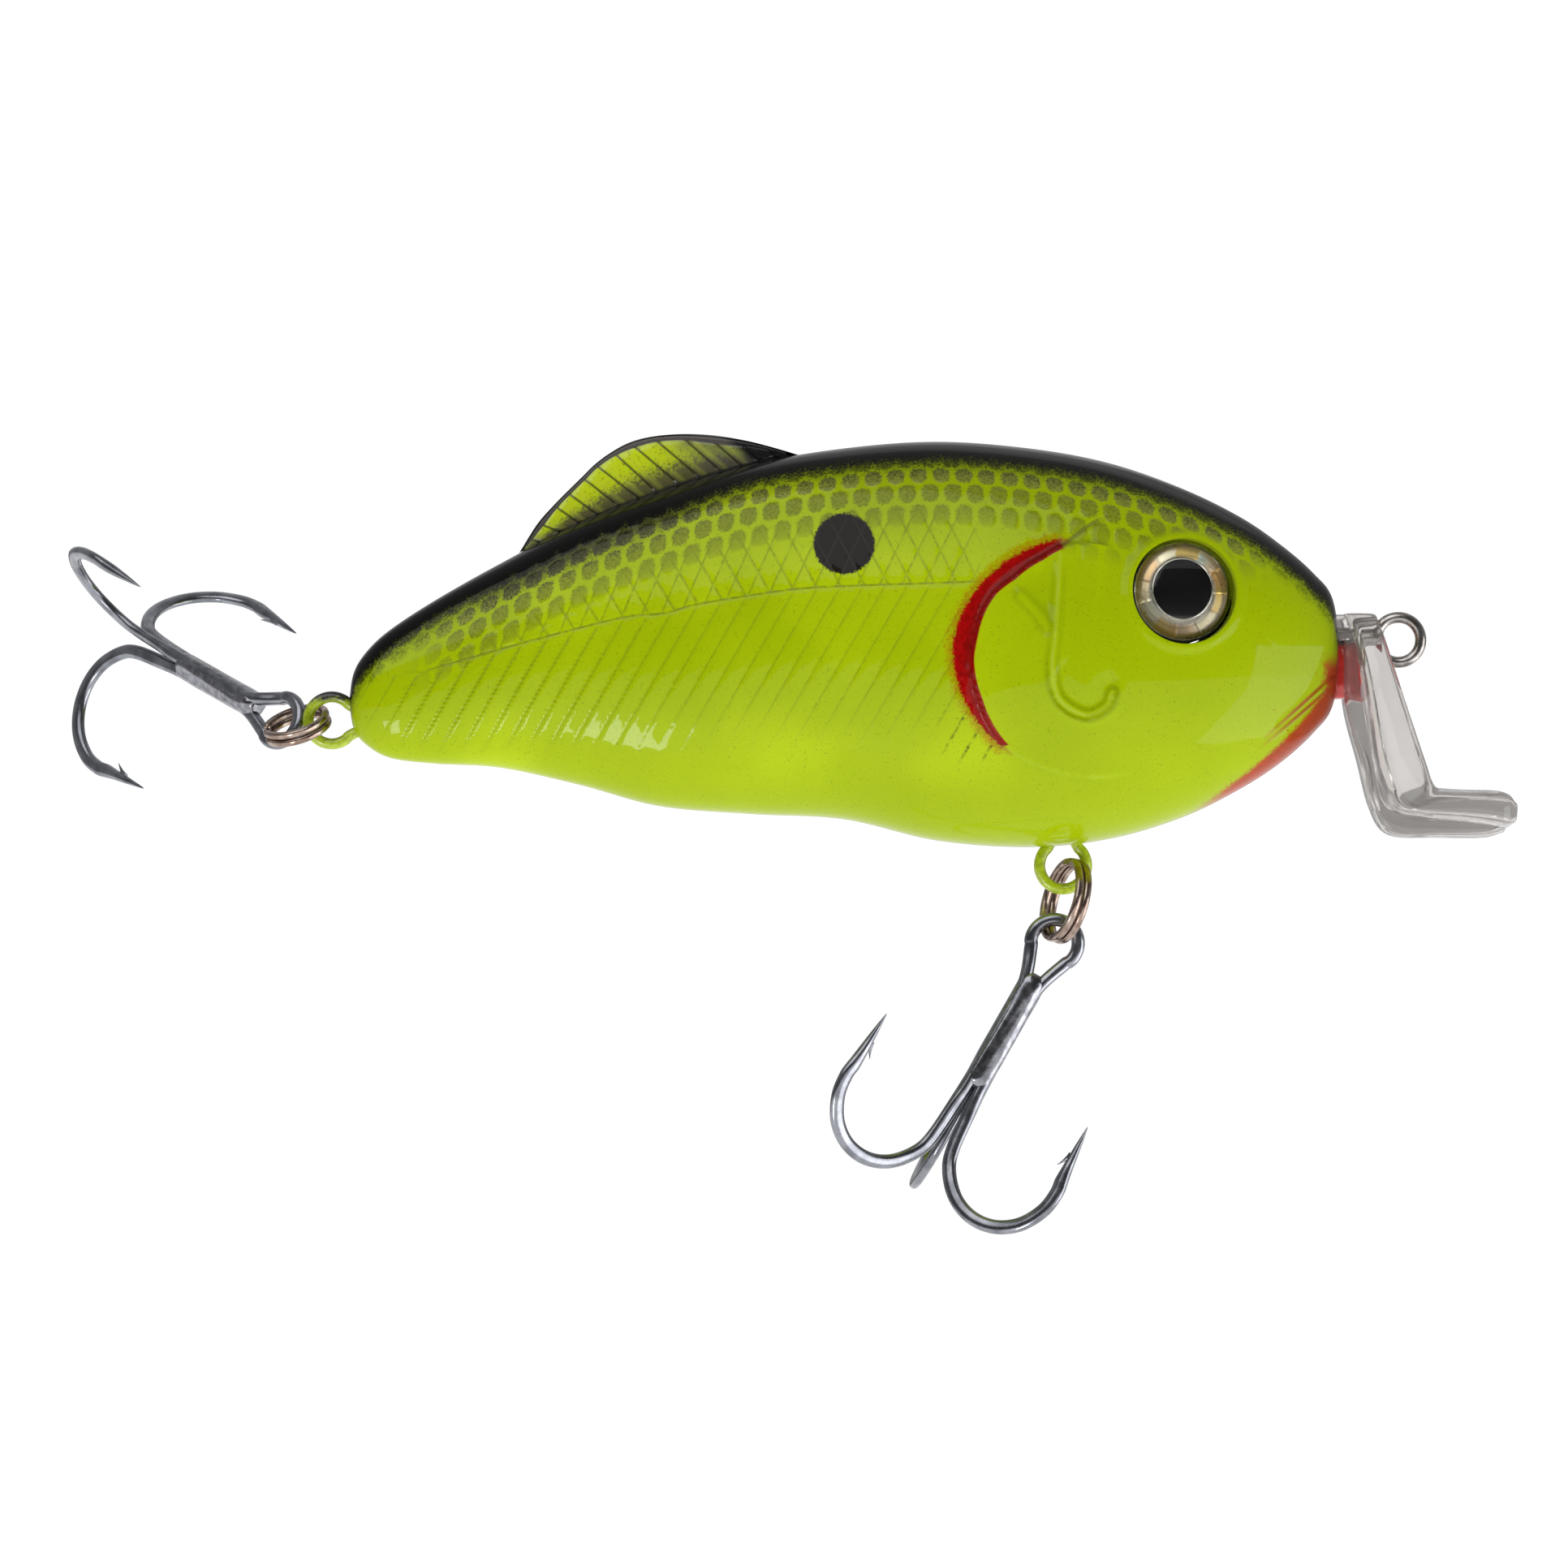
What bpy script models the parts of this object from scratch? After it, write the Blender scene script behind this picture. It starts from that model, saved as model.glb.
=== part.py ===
"""Crankbait lure: hollow two-part body, L-shaped clear lip, back fin, two treble hooks on split rings.

Frame: +X to the nose, +Z up, origin at the centre of the line tie. Lengths below are in millimetres.
"""

import math

import bmesh
import bpy
import numpy as np
from mathutils import Matrix, Vector

MM = 0.001

# ---------------------------------------------------------------- driving dimensions (mm)
WALL = 1.2  # shell wall
SEAM = 0.3  # gap between the two shells on the centre plane
GAP = 0.3  # gap between pieces that touch

# stations from tail to nose: x, top, bottom, half width
BODY = [
    (-79.5, -4.6, -4.6, 0.0),
    (-79.1, -2.4, -6.8, 1.4),
    (-78.0, -0.7, -8.1, 2.3),
    (-76.2, 0.9, -9.0, 2.8),
    (-72.8, 3.1, -9.4, 3.4),
    (-68.0, 5.8, -9.7, 4.2),
    (-62.0, 8.9, -11.0, 5.3),
    (-56.0, 11.2, -12.6, 6.4),
    (-49.0, 13.3, -13.2, 7.4),
    (-42.0, 14.5, -13.6, 8.2),
    (-35.0, 15.0, -15.2, 8.9),
    (-28.0, 14.5, -15.7, 9.2),
    (-22.0, 13.4, -15.1, 9.1),
    (-16.5, 11.5, -13.5, 8.4),
    (-12.0, 9.3, -11.3, 7.2),
    (-8.8, 7.1, -9.2, 5.8),
    (-6.4, 5.0, -7.0, 4.2),
    (-5.0, 3.1, -5.0, 2.7),
    (-4.4, -0.9, -0.9, 0.0),
]
SHELL_SOLVER = "MANIFOLD"  # the exact solver drops a chamber of the body
FULLNESS = 0.85  # below 1 the flanks are fuller than an ellipse

TIE_WIRE, TIE_LOOP = 0.86, 1.70  # wire diameter, loop radius at the wire's centre
TIE_LEG = 0.52  # half spacing of the two legs
TIE_BACK = Vector((-13.2, 0.0, 0.0))  # centre of the inner loop

HANG_WIRE, HANG_LOOP, HANG_INNER, HANG_LEG = 0.86, 1.78, 1.55, 0.80
BELLY_EYE = Vector((-25.4, 0.0, -17.1))  # centre of the belly hanger's outer loop
TAIL_EYE = Vector((-80.8, 0.0, -6.1))
HANG_SPAN = 5.3  # outer loop centre to inner loop centre

EYE_AT = Vector((-16.2, 0.0, 3.8))
EYE_SOCKET, EYE_FOIL, EYE_DOME = 3.95, 3.35, 3.65
EYE_FLOOR = 6.35  # socket floor's distance from the centre plane
EYE_TILT = Vector((0.16, 1.0, 0.07))  # way the eye looks, for the +Y side

SPLIT = {  # centre, in-plane direction 1, in-plane direction 2, radius at the wire's centre, wire
    "belly": (Vector((-25.25, -0.87, -19.75)), Vector((-0.291, 0.049, -0.955)), Vector((0.315, -0.938, -0.144)), 3.0, 0.60),
    "tail": (Vector((-83.44, 0.07, -6.48)), Vector((0.954, 0.028, 0.298)), Vector((0.138, -0.925, -0.355)), 2.35, 0.56),
}

HOOK_WIRE = 1.0
HOOK_TOTAL = 23.9  # eye to bend
EYE_LEN, EYE_WID = 4.3, 3.6  # hook eye at the wire's centre
BRAZE_END = 14.5  # end of the brazed shank, from the eye's top
BEND_R, TIP_RISE = 4.75, 10.8

FIN_THICK = 1.0
BALL_BIG, BALL_SMALL = 4.5, 3.0


# ---------------------------------------------------------------- helpers
for old in list(bpy.data.objects):
    bpy.data.objects.remove(old)

scene = bpy.context.scene
lure = bpy.data.collections.new("crankbait_lure")
cutters = bpy.data.collections.new("cutters")
scene.collection.children.link(lure)
scene.collection.children.link(cutters)


def material(name, color, rough, metal=0.0, trans=0.0):
    m = bpy.data.materials.new(name)
    m.use_nodes = True
    b = m.node_tree.nodes["Principled BSDF"]
    b.inputs["Base Color"].default_value = (*color, 1.0)
    b.inputs["Roughness"].default_value = rough
    b.inputs["Metallic"].default_value = metal
    b.inputs["Transmission Weight"].default_value = trans
    m.diffuse_color = (*color, 1.0)
    return m


PAINT = [material(f"chartreuse_{s}", (0.42, 0.56, 0.01), 0.15) for s in ("left", "right")]
FIN_PAINT = material("fin_paint", (0.10, 0.16, 0.02), 0.2)
CLEAR = material("clear_plastic", (0.85, 0.86, 0.85), 0.05, trans=0.8)
STEEL = material("stainless_steel", (0.55, 0.52, 0.49), 0.25, 1.0)
BLACK_NICKEL = material("black_nickel", (0.12, 0.13, 0.15), 0.25, 1.0)
HANGER_PAINT = material("painted_wire", (0.40, 0.54, 0.01), 0.3)
FOIL = material("holographic_foil", (0.65, 0.62, 0.45), 0.3, 0.8)
LEAD = material("lead", (0.25, 0.26, 0.28), 0.6, 0.9)
BALL = material("ball_steel", (0.6, 0.6, 0.62), 0.15, 1.0)


def own(base, name):
    m = base.copy()
    m.name = name
    return m


def link(obj, collection=lure):
    collection.objects.link(obj)
    return obj


def new_object(name, bm, mat=None, collection=lure, smooth=True):
    bmesh.ops.recalc_face_normals(bm, faces=bm.faces)
    mesh = bpy.data.meshes.new(name)
    bm.to_mesh(mesh)
    bm.free()
    if smooth:
        mesh.shade_smooth()
        mesh.set_sharp_from_angle(angle=math.radians(35))
    obj = bpy.data.objects.new(name, mesh)
    if mat:
        mesh.materials.append(own(mat, name))
    return link(obj, collection)


def cutter(obj):
    for c in list(obj.users_collection):
        c.objects.unlink(obj)
    cutters.objects.link(obj)
    obj.hide_render = True
    obj.display_type = "WIRE"
    return obj


def boolean(obj, other, how="DIFFERENCE", solver="EXACT"):
    m = obj.modifiers.new(how.lower(), "BOOLEAN")
    m.operation = how
    m.object = other
    m.solver = solver
    return m


def frame_matrix(z, x_hint, at):
    z = Vector(z).normalized()
    x = Vector(x_hint)
    x = (x - z * x.dot(z)).normalized()
    y = z.cross(x)
    m = Matrix((x, y, z)).transposed().to_4x4()
    m.translation = Vector(at) * MM
    return m


def cylinder(name, r, length, axis, at, segments=28, mat=None, collection=lure, r2=None):
    """A cylinder or cone centred on `at`, along `axis`."""
    bm = bmesh.new()
    bmesh.ops.create_cone(
        bm, cap_ends=True, segments=segments, radius1=r * MM, radius2=(r if r2 is None else r2) * MM, depth=length * MM
    )
    hint = (1, 0, 0) if abs(Vector(axis).normalized().x) < 0.9 else (0, 0, 1)
    bm.transform(frame_matrix(axis, hint, at))
    return new_object(name, bm, mat, collection)


def block(name, size, at, mat=None, collection=lure):
    bm = bmesh.new()
    bmesh.ops.create_cube(bm, size=1.0)
    bm.transform(Matrix.Translation(Vector(at) * MM) @ Matrix.Diagonal((size[0] * MM, size[1] * MM, size[2] * MM, 1)))
    return new_object(name, bm, mat, collection, smooth=False)


def sphere(name, r, at, mat, u=14, v=8):
    bm = bmesh.new()
    bmesh.ops.create_uvsphere(bm, u_segments=u, v_segments=v, radius=r * MM)
    obj = new_object(name, bm, mat)
    obj.location = Vector(at) * MM
    return obj


def wire(name, points, diameter, mat, cyclic=False, origin=None, radii=None):
    """A round wire through the points; the object's origin is at `origin`."""
    origin = Vector(origin) if origin is not None else Vector((0, 0, 0))
    cu = bpy.data.curves.new(name, "CURVE")
    cu.dimensions = "3D"
    cu.bevel_depth = diameter / 2 * MM
    cu.bevel_resolution = 2
    cu.use_fill_caps = True
    sp = cu.splines.new("POLY")
    sp.points.add(len(points) - 1)
    for i, (sp_pt, p) in enumerate(zip(sp.points, points)):
        sp_pt.co = ((Vector(p) - origin) * MM).to_4d()
        if radii:
            sp_pt.radius = radii[i]
    sp.use_cyclic_u = cyclic
    cu.materials.append(own(mat, name))
    obj = bpy.data.objects.new(name, cu)
    obj.location = origin * MM
    return link(obj)


def to_mesh(obj):
    """The curve object as a welded mesh object of the same name."""
    deps = bpy.context.evaluated_depsgraph_get()
    deps.update()
    mesh = bpy.data.meshes.new_from_object(obj.evaluated_get(deps))
    bm = bmesh.new()
    bm.from_mesh(mesh)
    bmesh.ops.remove_doubles(bm, verts=bm.verts, dist=1e-6)
    bmesh.ops.recalc_face_normals(bm, faces=bm.faces)
    bm.to_mesh(mesh)
    bm.free()
    mesh.shade_smooth()
    mesh.set_sharp_from_angle(angle=math.radians(40))
    name = obj.name
    out = bpy.data.objects.new(name + "_mesh", mesh)
    out.matrix_world = obj.matrix_world.copy()
    bpy.data.objects.remove(obj)
    out.name = name
    return link(out)


def catmull(points, per):
    """Points on a smooth curve through `points`, `per` steps to each span."""
    pts = [np.array(p, float) for p in points]
    ext = [2 * pts[0] - pts[1]] + pts + [2 * pts[-1] - pts[-2]]
    out = []
    for a, b, c, d in zip(ext, ext[1:], ext[2:], ext[3:]):
        for k in range(per):
            t = k / per
            out.append(
                0.5 * (2 * b + (c - a) * t + (2 * a - 5 * b + 4 * c - d) * t**2 + (3 * b - a - 3 * c + d) * t**3)
            )
    out.append(pts[-1])
    return out


def arc(centre, u, v, r, a0, a1, n):
    """n + 1 points on an arc, from angle a0 to a1 in degrees; u and v span its plane."""
    out = []
    for k in range(n + 1):
        a = math.radians(a0 + (a1 - a0) * k / n)
        out.append(Vector(centre) + Vector(u) * (r * math.cos(a)) + Vector(v) * (r * math.sin(a)))
    return out


# ---------------------------------------------------------------- body: two hollow shells
def station_at(x):
    """top, bottom and half width of the body at x."""
    xs = [s[0] for s in BODY]
    return [float(np.interp(x, xs, [s[k] for s in BODY])) for k in (1, 2, 3)]


def body_solid(name, inset, around, per):
    """The closed loft through the stations, pulled in by `inset`."""
    first, last = BODY[0][0] + inset, BODY[-1][0] - inset
    rings = []
    for x, top, bottom, half in catmull(BODY, per):
        if x <= first + 1e-6 or x >= last - 1e-6:
            continue
        top, bottom, half = top - inset, bottom + inset, half - inset
        if top - bottom > 0.3 and half > 0.15:
            rings.append((x, top, bottom, half))
    bm = bmesh.new()
    loops = []
    for x, top, bottom, half in rings:
        mid, high = (top + bottom) / 2, (top - bottom) / 2
        loop = []
        for k in range(around):
            a = 2 * math.pi * k / around
            s = math.sin(a)
            y = math.copysign(half * abs(s) ** FULLNESS, s)
            loop.append(bm.verts.new((x * MM, y * MM, (mid + high * math.cos(a)) * MM)))
        loops.append(loop)
    for a, b in zip(loops, loops[1:]):
        for k in range(around):
            n = (k + 1) % around
            bm.faces.new((a[k], b[k], b[n], a[n]))
    for loop, x, mid in (
        (loops[0], first, (rings[0][1] + rings[0][2]) / 2),
        (loops[-1], last, (rings[-1][1] + rings[-1][2]) / 2),
    ):
        tip = bm.verts.new((x * MM, 0, mid * MM))
        for k in range(around):
            bm.faces.new((loop[k], loop[(k + 1) % around], tip))
    return new_object(name, bm, None)


cavity = cutter(body_solid("cavity", WALL, 24, 1))
eye_axis = {s: Vector((EYE_TILT.x, s * EYE_TILT.y, EYE_TILT.z)).normalized() for s in (1, -1)}

# inner webs and posts: taken out of the cavity, so they stay as wall
solids = [
    block("web_knocker_rear", (1.0, 30, 34), (-34.6, 0, 0)),
    block("web_knocker_front", (1.0, 30, 34), (-19.8, 0, 0)),
    block("web_knocker_floor", (14.0, 30, 1.0), (-27.2, 0, -2.7)),
    block("web_rattle_floor", (14.4, 30, 1.0), (-52.8, 0, -3.3)),
    block("web_rattle_rear", (1.0, 30, 20), (-60.0, 0, 4.0)),
    block("web_rattle_front", (1.0, 30, 20), (-45.6, 0, 4.0)),
    block("web_rattle_roof", (14.4, 30, 1.0), (-52.8, 0, 1.9)),
    cylinder("post_belly", 0.8, 30, (0, 1, 0), (BELLY_EYE.x, 0, BELLY_EYE.z + HANG_SPAN), 16),
    cylinder("post_tail", 0.8, 30, (0, 1, 0), (TAIL_EYE.x + HANG_SPAN, 0, TAIL_EYE.z), 16),
    cylinder("post_tie", 0.8, 30, (0, 1, 0), TIE_BACK, 16),
    cylinder("eye_seat", 5.0, 12, (0, 1, 0), (EYE_AT.x, 10.4, EYE_AT.z), 28),
    cylinder("eye_seat_other", 5.0, 12, (0, 1, 0), (EYE_AT.x, -10.4, EYE_AT.z), 28),
    cylinder("pin_front", 1.3, 30, (0, 1, 0), (-20.0, 0, -6.5), 16),
    cylinder("pin_rear", 1.3, 30, (0, 1, 0), (-42.0, 0, 6.5), 16),
]
for s in solids:
    cutter(s)
    boolean(cavity, s, solver=SHELL_SOLVER)

# pockets cut through both shells
FIN_BASE = [(-67.0, 6.2), (-61.0, 9.3), (-54.0, 11.8), (-49.9, 13.0), (-45.4, 13.9)]
FIN_TOP = [
    (-66.6, 6.6), (-65.3, 8.7), (-64.0, 10.2), (-62.0, 12.2), (-60.4, 13.7), (-58.4, 14.9),
    (-56.6, 15.4), (-54.4, 15.6), (-51.8, 15.5), (-49.4, 15.1), (-47.4, 14.6), (-45.2, 13.95),
]
FIN_ROOT = 2.6  # how far the fin's root sits under the back


def outline_object(name, outline, thick, mat, collection=lure):
    """A flat plate in the XZ plane, centred on y = 0, from a 2D outline."""
    cu = bpy.data.curves.new(name, "CURVE")
    cu.dimensions = "2D"
    cu.fill_mode = "BOTH"
    cu.extrude = thick / 2 * MM
    sp = cu.splines.new("POLY")
    sp.points.add(len(outline) - 1)
    for q, (x, z) in zip(sp.points, outline):
        q.co = (x * MM, z * MM, 0, 1)
    sp.use_cyclic_u = True
    if mat:
        cu.materials.append(own(mat, name))
    obj = bpy.data.objects.new(name, cu)
    obj.rotation_euler = (math.pi / 2, 0, 0)
    link(obj, collection)
    bpy.context.view_layer.update()
    return to_mesh(obj)


root_low = [(x, z - FIN_ROOT) for x, z in FIN_BASE[1:-1]]
slot_outline = (
    [(-67.0, 12.0), (-67.0, 5.9), (-64.9, 6.9), (-64.9, 8.9 - FIN_ROOT)]
    + [(x, z - GAP) for x, z in root_low]
    + [(-46.1, 13.7 - FIN_ROOT - GAP), (-46.1, 12.9), (-44.8, 13.1), (-44.8, 17.0)]
)
fin_slot = cutter(outline_object("fin_slot", slot_outline, FIN_THICK + 2 * GAP, None))
fin_seat = cutter(
    outline_object(
        "fin_seat", [(-66.0, 14.0), (-66.0, 5.2)] + [(x, z - 1.0) for x, z in root_low] + [(-45.0, 10.1), (-45.0, 16.5)], FIN_THICK + 4.0, None
    )
)
boolean(cavity, fin_seat, solver=SHELL_SOLVER)

# the lip's tenon and neck pass through the nose
neck_slot = cutter(block("neck_slot", (7.4, 3.6 + 2 * GAP, 6.2 + 2 * GAP), (-7.6, 0, -1.45)))
neck_seat = cutter(block("neck_seat", (6.4, 6.6, 9.0), (-8.9, 0, -1.45)))
boolean(cavity, neck_seat, solver=SHELL_SOLVER)

tie_slot = cutter(block("tie_slot", (4.6, TIE_WIRE + 0.3, 4.6), (-13.3, 0, 0)))
boolean(cavity, cutter(block("tie_seat", (5.0, 4.4, 7.6), (-14.2, 0, -0.6))), solver=SHELL_SOLVER)
tie_post = cutter(cylinder("tie_post", 0.8, 30, (0, 1, 0), TIE_BACK, 16))
boolean(tie_slot, tie_post)

ex, ez = BELLY_EYE.x, BELLY_EYE.z
belly_slot = cutter(block("belly_slot", (5.4, HANG_WIRE + 0.3, 8.0), (ex, 0, ez + 5.2)))
boolean(belly_slot, cutter(cylinder("belly_post", 0.8, 30, (0, 1, 0), (ex, 0, ez + HANG_SPAN), 16)))
boolean(cavity, cutter(block("belly_seat", (7.6, 4.0, 8.0), (ex, 0, ez + 4.6))), solver=SHELL_SOLVER)
belly_mouth = cutter(block("belly_mouth", (2 * HANG_LEG + HANG_WIRE + 0.9, HANG_WIRE + 0.3, 3.0), (ex, 0, ez + 1.6)))

tx, tz = TAIL_EYE.x, TAIL_EYE.z
tail_slot = cutter(block("tail_slot", (8.4, HANG_WIRE + 0.3, 4.6), (tx + 5.2, 0, tz)))
boolean(tail_slot, cutter(cylinder("tail_post", 0.8, 30, (0, 1, 0), (tx + HANG_SPAN, 0, tz), 16)))
boolean(cavity, cutter(block("tail_seat", (9.4, 4.0, 14.0), (tx + 4.4, 0, tz + 1.0))), solver=SHELL_SOLVER)

weight_slot = cutter(cylinder("weight_bore", 2.85 + 0.1, 11.6, (1, 0, 0), (-37.4, 0, -10.4), 24))
boolean(cavity, cutter(cylinder("weight_cradle", 4.1, 8.0, (1, 0, 0), (-37.4, 0, -10.4), 24)), solver=SHELL_SOLVER)

for side, name, mat in ((1, "body_shell_left", PAINT[0]), (-1, "body_shell_right", PAINT[1])):
    shell = body_solid(name, 0.0, 32, 2)
    shell.data.materials.append(mat)
    boolean(shell, cavity, solver=SHELL_SOLVER)
    half = cutter(block(f"half_{name}", (120, 30, 60), (-40, side * (15 + SEAM / 2), 0)))
    boolean(shell, half, "INTERSECT", SHELL_SOLVER)
    socket = cutter(
        cylinder(f"socket_{name}", EYE_SOCKET, 8, eye_axis[side], Vector((EYE_AT.x, side * EYE_FLOOR, EYE_AT.z)) + eye_axis[side] * 4, 32)
    )
    for c in (socket, fin_slot, neck_slot, tie_slot, belly_slot, belly_mouth, tail_slot, weight_slot):
        boolean(shell, c, solver=SHELL_SOLVER)

# ---------------------------------------------------------------- eyes
for side, tag in ((1, "left"), (-1, "right")):
    out = eye_axis[side]
    floor = Vector((EYE_AT.x, side * EYE_FLOOR, EYE_AT.z))
    cylinder(f"{tag}_eye_foil", EYE_FOIL, 0.3, out, floor + out * 0.25, 32, FOIL)
    # dome: a turned cap, flat below and crowned above
    bm = bmesh.new()
    rows, steps, crown = 5, 28, 1.15
    profile = [(0.0, 0.55 + crown)]
    profile += [(EYE_DOME * math.sin(i / rows * math.pi / 2), 0.55 + crown * math.cos(i / rows * math.pi / 2)) for i in range(1, rows + 1)]
    profile += [(EYE_DOME, 0.5), (0.0, 0.5)]
    verts = [bm.verts.new((r * MM, 0, h * MM)) for r, h in profile]
    for a, b in zip(verts, verts[1:]):
        bm.edges.new((a, b))
    mesh = bpy.data.meshes.new(f"{tag}_eye_dome")
    bm.to_mesh(mesh)
    bm.free()
    mesh.materials.append(own(CLEAR, f"{tag}_eye_dome"))
    dome = link(bpy.data.objects.new(f"{tag}_eye_dome", mesh))
    screw = dome.modifiers.new("turn", "SCREW")
    screw.axis = "Z"
    screw.steps = screw.render_steps = steps
    screw.use_merge_vertices = True
    screw.merge_threshold = 0.00001
    screw.use_smooth_shade = True
    dome.matrix_world = frame_matrix(out, (1, 0, 0), floor)

# ---------------------------------------------------------------- back fin
fin_outline = (
    FIN_TOP
    + [(-45.2, 13.5), (-46.4, 13.3), (-46.4, 13.7 - FIN_ROOT)]
    + list(reversed(root_low))
    + [(-64.6, 9.2 - FIN_ROOT), (-64.6, 7.4), (-66.6, 6.4)]
)
fin = outline_object("dorsal_fin", fin_outline, FIN_THICK, FIN_PAINT)


# ---------------------------------------------------------------- wire eyes
def figure_eight(eye, back, r_out, r_in, leg, samples=16):
    """A closed wire: loop round `eye`, two parallel legs, smaller loop round `back`, all in the XZ plane."""
    d = (Vector(back) - Vector(eye)).normalized()
    n = Vector((0, 1, 0)).cross(d)
    open_out = math.degrees(math.asin(leg / r_out)) + 14
    open_in = math.degrees(math.asin(leg / r_in)) + 14
    out = arc(eye, d, n, r_out, open_out, 360 - open_out, samples)
    inner = arc(back, -d, -n, r_in, open_in, 360 - open_in, samples)
    span = (Vector(back) - Vector(eye)).length
    h0 = Vector(eye) + d * (r_out + 0.25)
    h1 = Vector(eye) + d * (span - r_in - 0.25)
    legs_a = [h0 - n * leg, h1 - n * leg]
    legs_b = [h1 + n * leg, h0 + n * leg]
    return out + legs_a + inner + legs_b


tie_pts = figure_eight(Vector((0, 0, 0)), TIE_BACK, TIE_LOOP, 1.5, TIE_LEG)
tie = to_mesh(wire("line_tie", tie_pts, TIE_WIRE, STEEL, cyclic=True))
to_mesh(wire("belly_hook_hanger", figure_eight(BELLY_EYE, BELLY_EYE + Vector((0, 0, HANG_SPAN)), HANG_LOOP, HANG_INNER, HANG_LEG), HANG_WIRE, HANGER_PAINT, cyclic=True))
to_mesh(wire("tail_hook_hanger", figure_eight(TAIL_EYE, TAIL_EYE + Vector((HANG_SPAN, 0, 0)), HANG_LOOP, HANG_INNER, HANG_LEG), HANG_WIRE, HANGER_PAINT, cyclic=True))

# ---------------------------------------------------------------- diving lip: strut, blade, rib, neck and tenon
# stations along the lip: front point, back point (x, z), half width
LIP = [
    ((-1.75, 1.75), (-4.3, 1.75), 2.6),
    ((-1.25, 0.3), (-3.6, 0.1), 3.9),
    ((-0.6, -1.8), (-3.2, -1.9), 4.6),
    ((0.25, -4.5), (-2.8, -4.6), 5.2),
    ((1.05, -7.0), (-2.4, -7.5), 5.8),
    ((1.8, -9.3), (-1.9, -10.4), 6.4),
    ((2.4, -11.0), (-0.9, -12.9), 7.0),
    ((3.3, -11.25), (1.0, -13.5), 7.4),
    ((5.1, -11.35), (4.4, -13.8), 7.6),
    ((7.0, -11.65), (6.8, -13.9), 7.4),
    ((8.35, -12.35), (8.1, -13.6), 6.6),
]
RIB = [
    ((-2.6, 0.6), (-4.3, 0.6), 1.8),
    ((-2.6, -4.6), (-4.2, -4.8), 2.2),
    ((-1.9, -8.6), (-3.1, -9.2), 2.5),
    ((-1.2, -12.0), (-2.1, -12.9), 2.7),
    ((0.4, -13.0), (-0.7, -14.8), 2.8),
    ((3.0, -13.3), (2.9, -15.0), 2.8),
    ((5.8, -13.5), (6.3, -14.6), 2.6),
    ((7.4, -13.0), (7.9, -13.9), 2.0),
]


def slab(name, stations, mat, corner=0.35, collection=lure):
    """A lofted slab: at each station a rectangle from the front to the back point, with cut corners."""
    bm = bmesh.new()
    loops = []
    for front, back, half in stations:
        f, b = Vector((front[0], 0, front[1])), Vector((back[0], 0, back[1]))
        d = (b - f).normalized()
        c = min(corner, (b - f).length * 0.3)
        ring = [
            f + d * c + Vector((0, half, 0)), b - d * c + Vector((0, half, 0)),
            b + Vector((0, half - c, 0)), b - Vector((0, half - c, 0)),
            b - d * c - Vector((0, half, 0)), f + d * c - Vector((0, half, 0)),
            f - Vector((0, half - c, 0)), f + Vector((0, half - c, 0)),
        ]
        loops.append([bm.verts.new(p * MM) for p in ring])
    for a, b in zip(loops, loops[1:]):
        for k in range(8):
            bm.faces.new((a[k], a[(k + 1) % 8], b[(k + 1) % 8], b[k]))
    bm.faces.new(loops[0])
    bm.faces.new(list(reversed(loops[-1])))
    bmesh.ops.triangulate(bm, faces=bm.faces)
    return new_object(name, bm, mat, collection, smooth=False)


lip = slab("diving_lip", LIP, CLEAR)
boolean(lip, cutter(slab("lip_rib", RIB, None, 0.3)), "UNION")
boolean(lip, cutter(block("lip_neck", (7.4, 3.6, 6.2), (-7.3, 0, -1.45))), "UNION")
boolean(lip, cutter(block("tie_channel", (16.0, TIE_WIRE + 0.2, 2 * TIE_LEG + TIE_WIRE + 0.2), (-8.9, 0, 0))))

boolean(lip, cutter(cylinder("tie_relief", TIE_LOOP + TIE_WIRE / 2 + 0.12, TIE_WIRE + 0.2, (0, 1, 0), (0, 0, 0), 32)))

# ---------------------------------------------------------------- split rings
for tag, (centre, u, v, r, thick) in SPLIT.items():
    u = u.normalized()
    v = (v - u * v.dot(u)).normalized()
    axis = u.cross(v)
    layer = thick * 0.56
    pts = []
    start = 200.0
    for k in range(53):
        a = k * 13.3
        t = min(max((a - 322) / 48.0, 0.0), 1.0)
        lift = -layer + 2 * layer * (t * t * (3 - 2 * t))
        if a > 694:
            break
        ang = math.radians(start + a)
        pts.append(centre + u * (r * math.cos(ang)) + v * (r * math.sin(ang)) + axis * lift)
    ring = to_mesh(wire(f"{tag}_split_ring", pts, thick, STEEL, origin=BELLY_EYE if tag == "belly" else TAIL_EYE))

# ---------------------------------------------------------------- treble hooks
TREBLE = {  # outer top of the hook's eye, way to the bends, eye's plane direction, turn of the first hook in degrees
    "belly": (Vector((-24.93, -0.23, -20.98)), Vector((-0.491, -0.007, -0.871)), Vector((0.871, 0.013, -0.491)), 30.0),
    "tail": (Vector((-83.25, 0.25, -6.92)), Vector((-0.664, 0.653, 0.365)), Vector((0.461, -0.027, 0.886)), 174.0),
}


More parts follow.
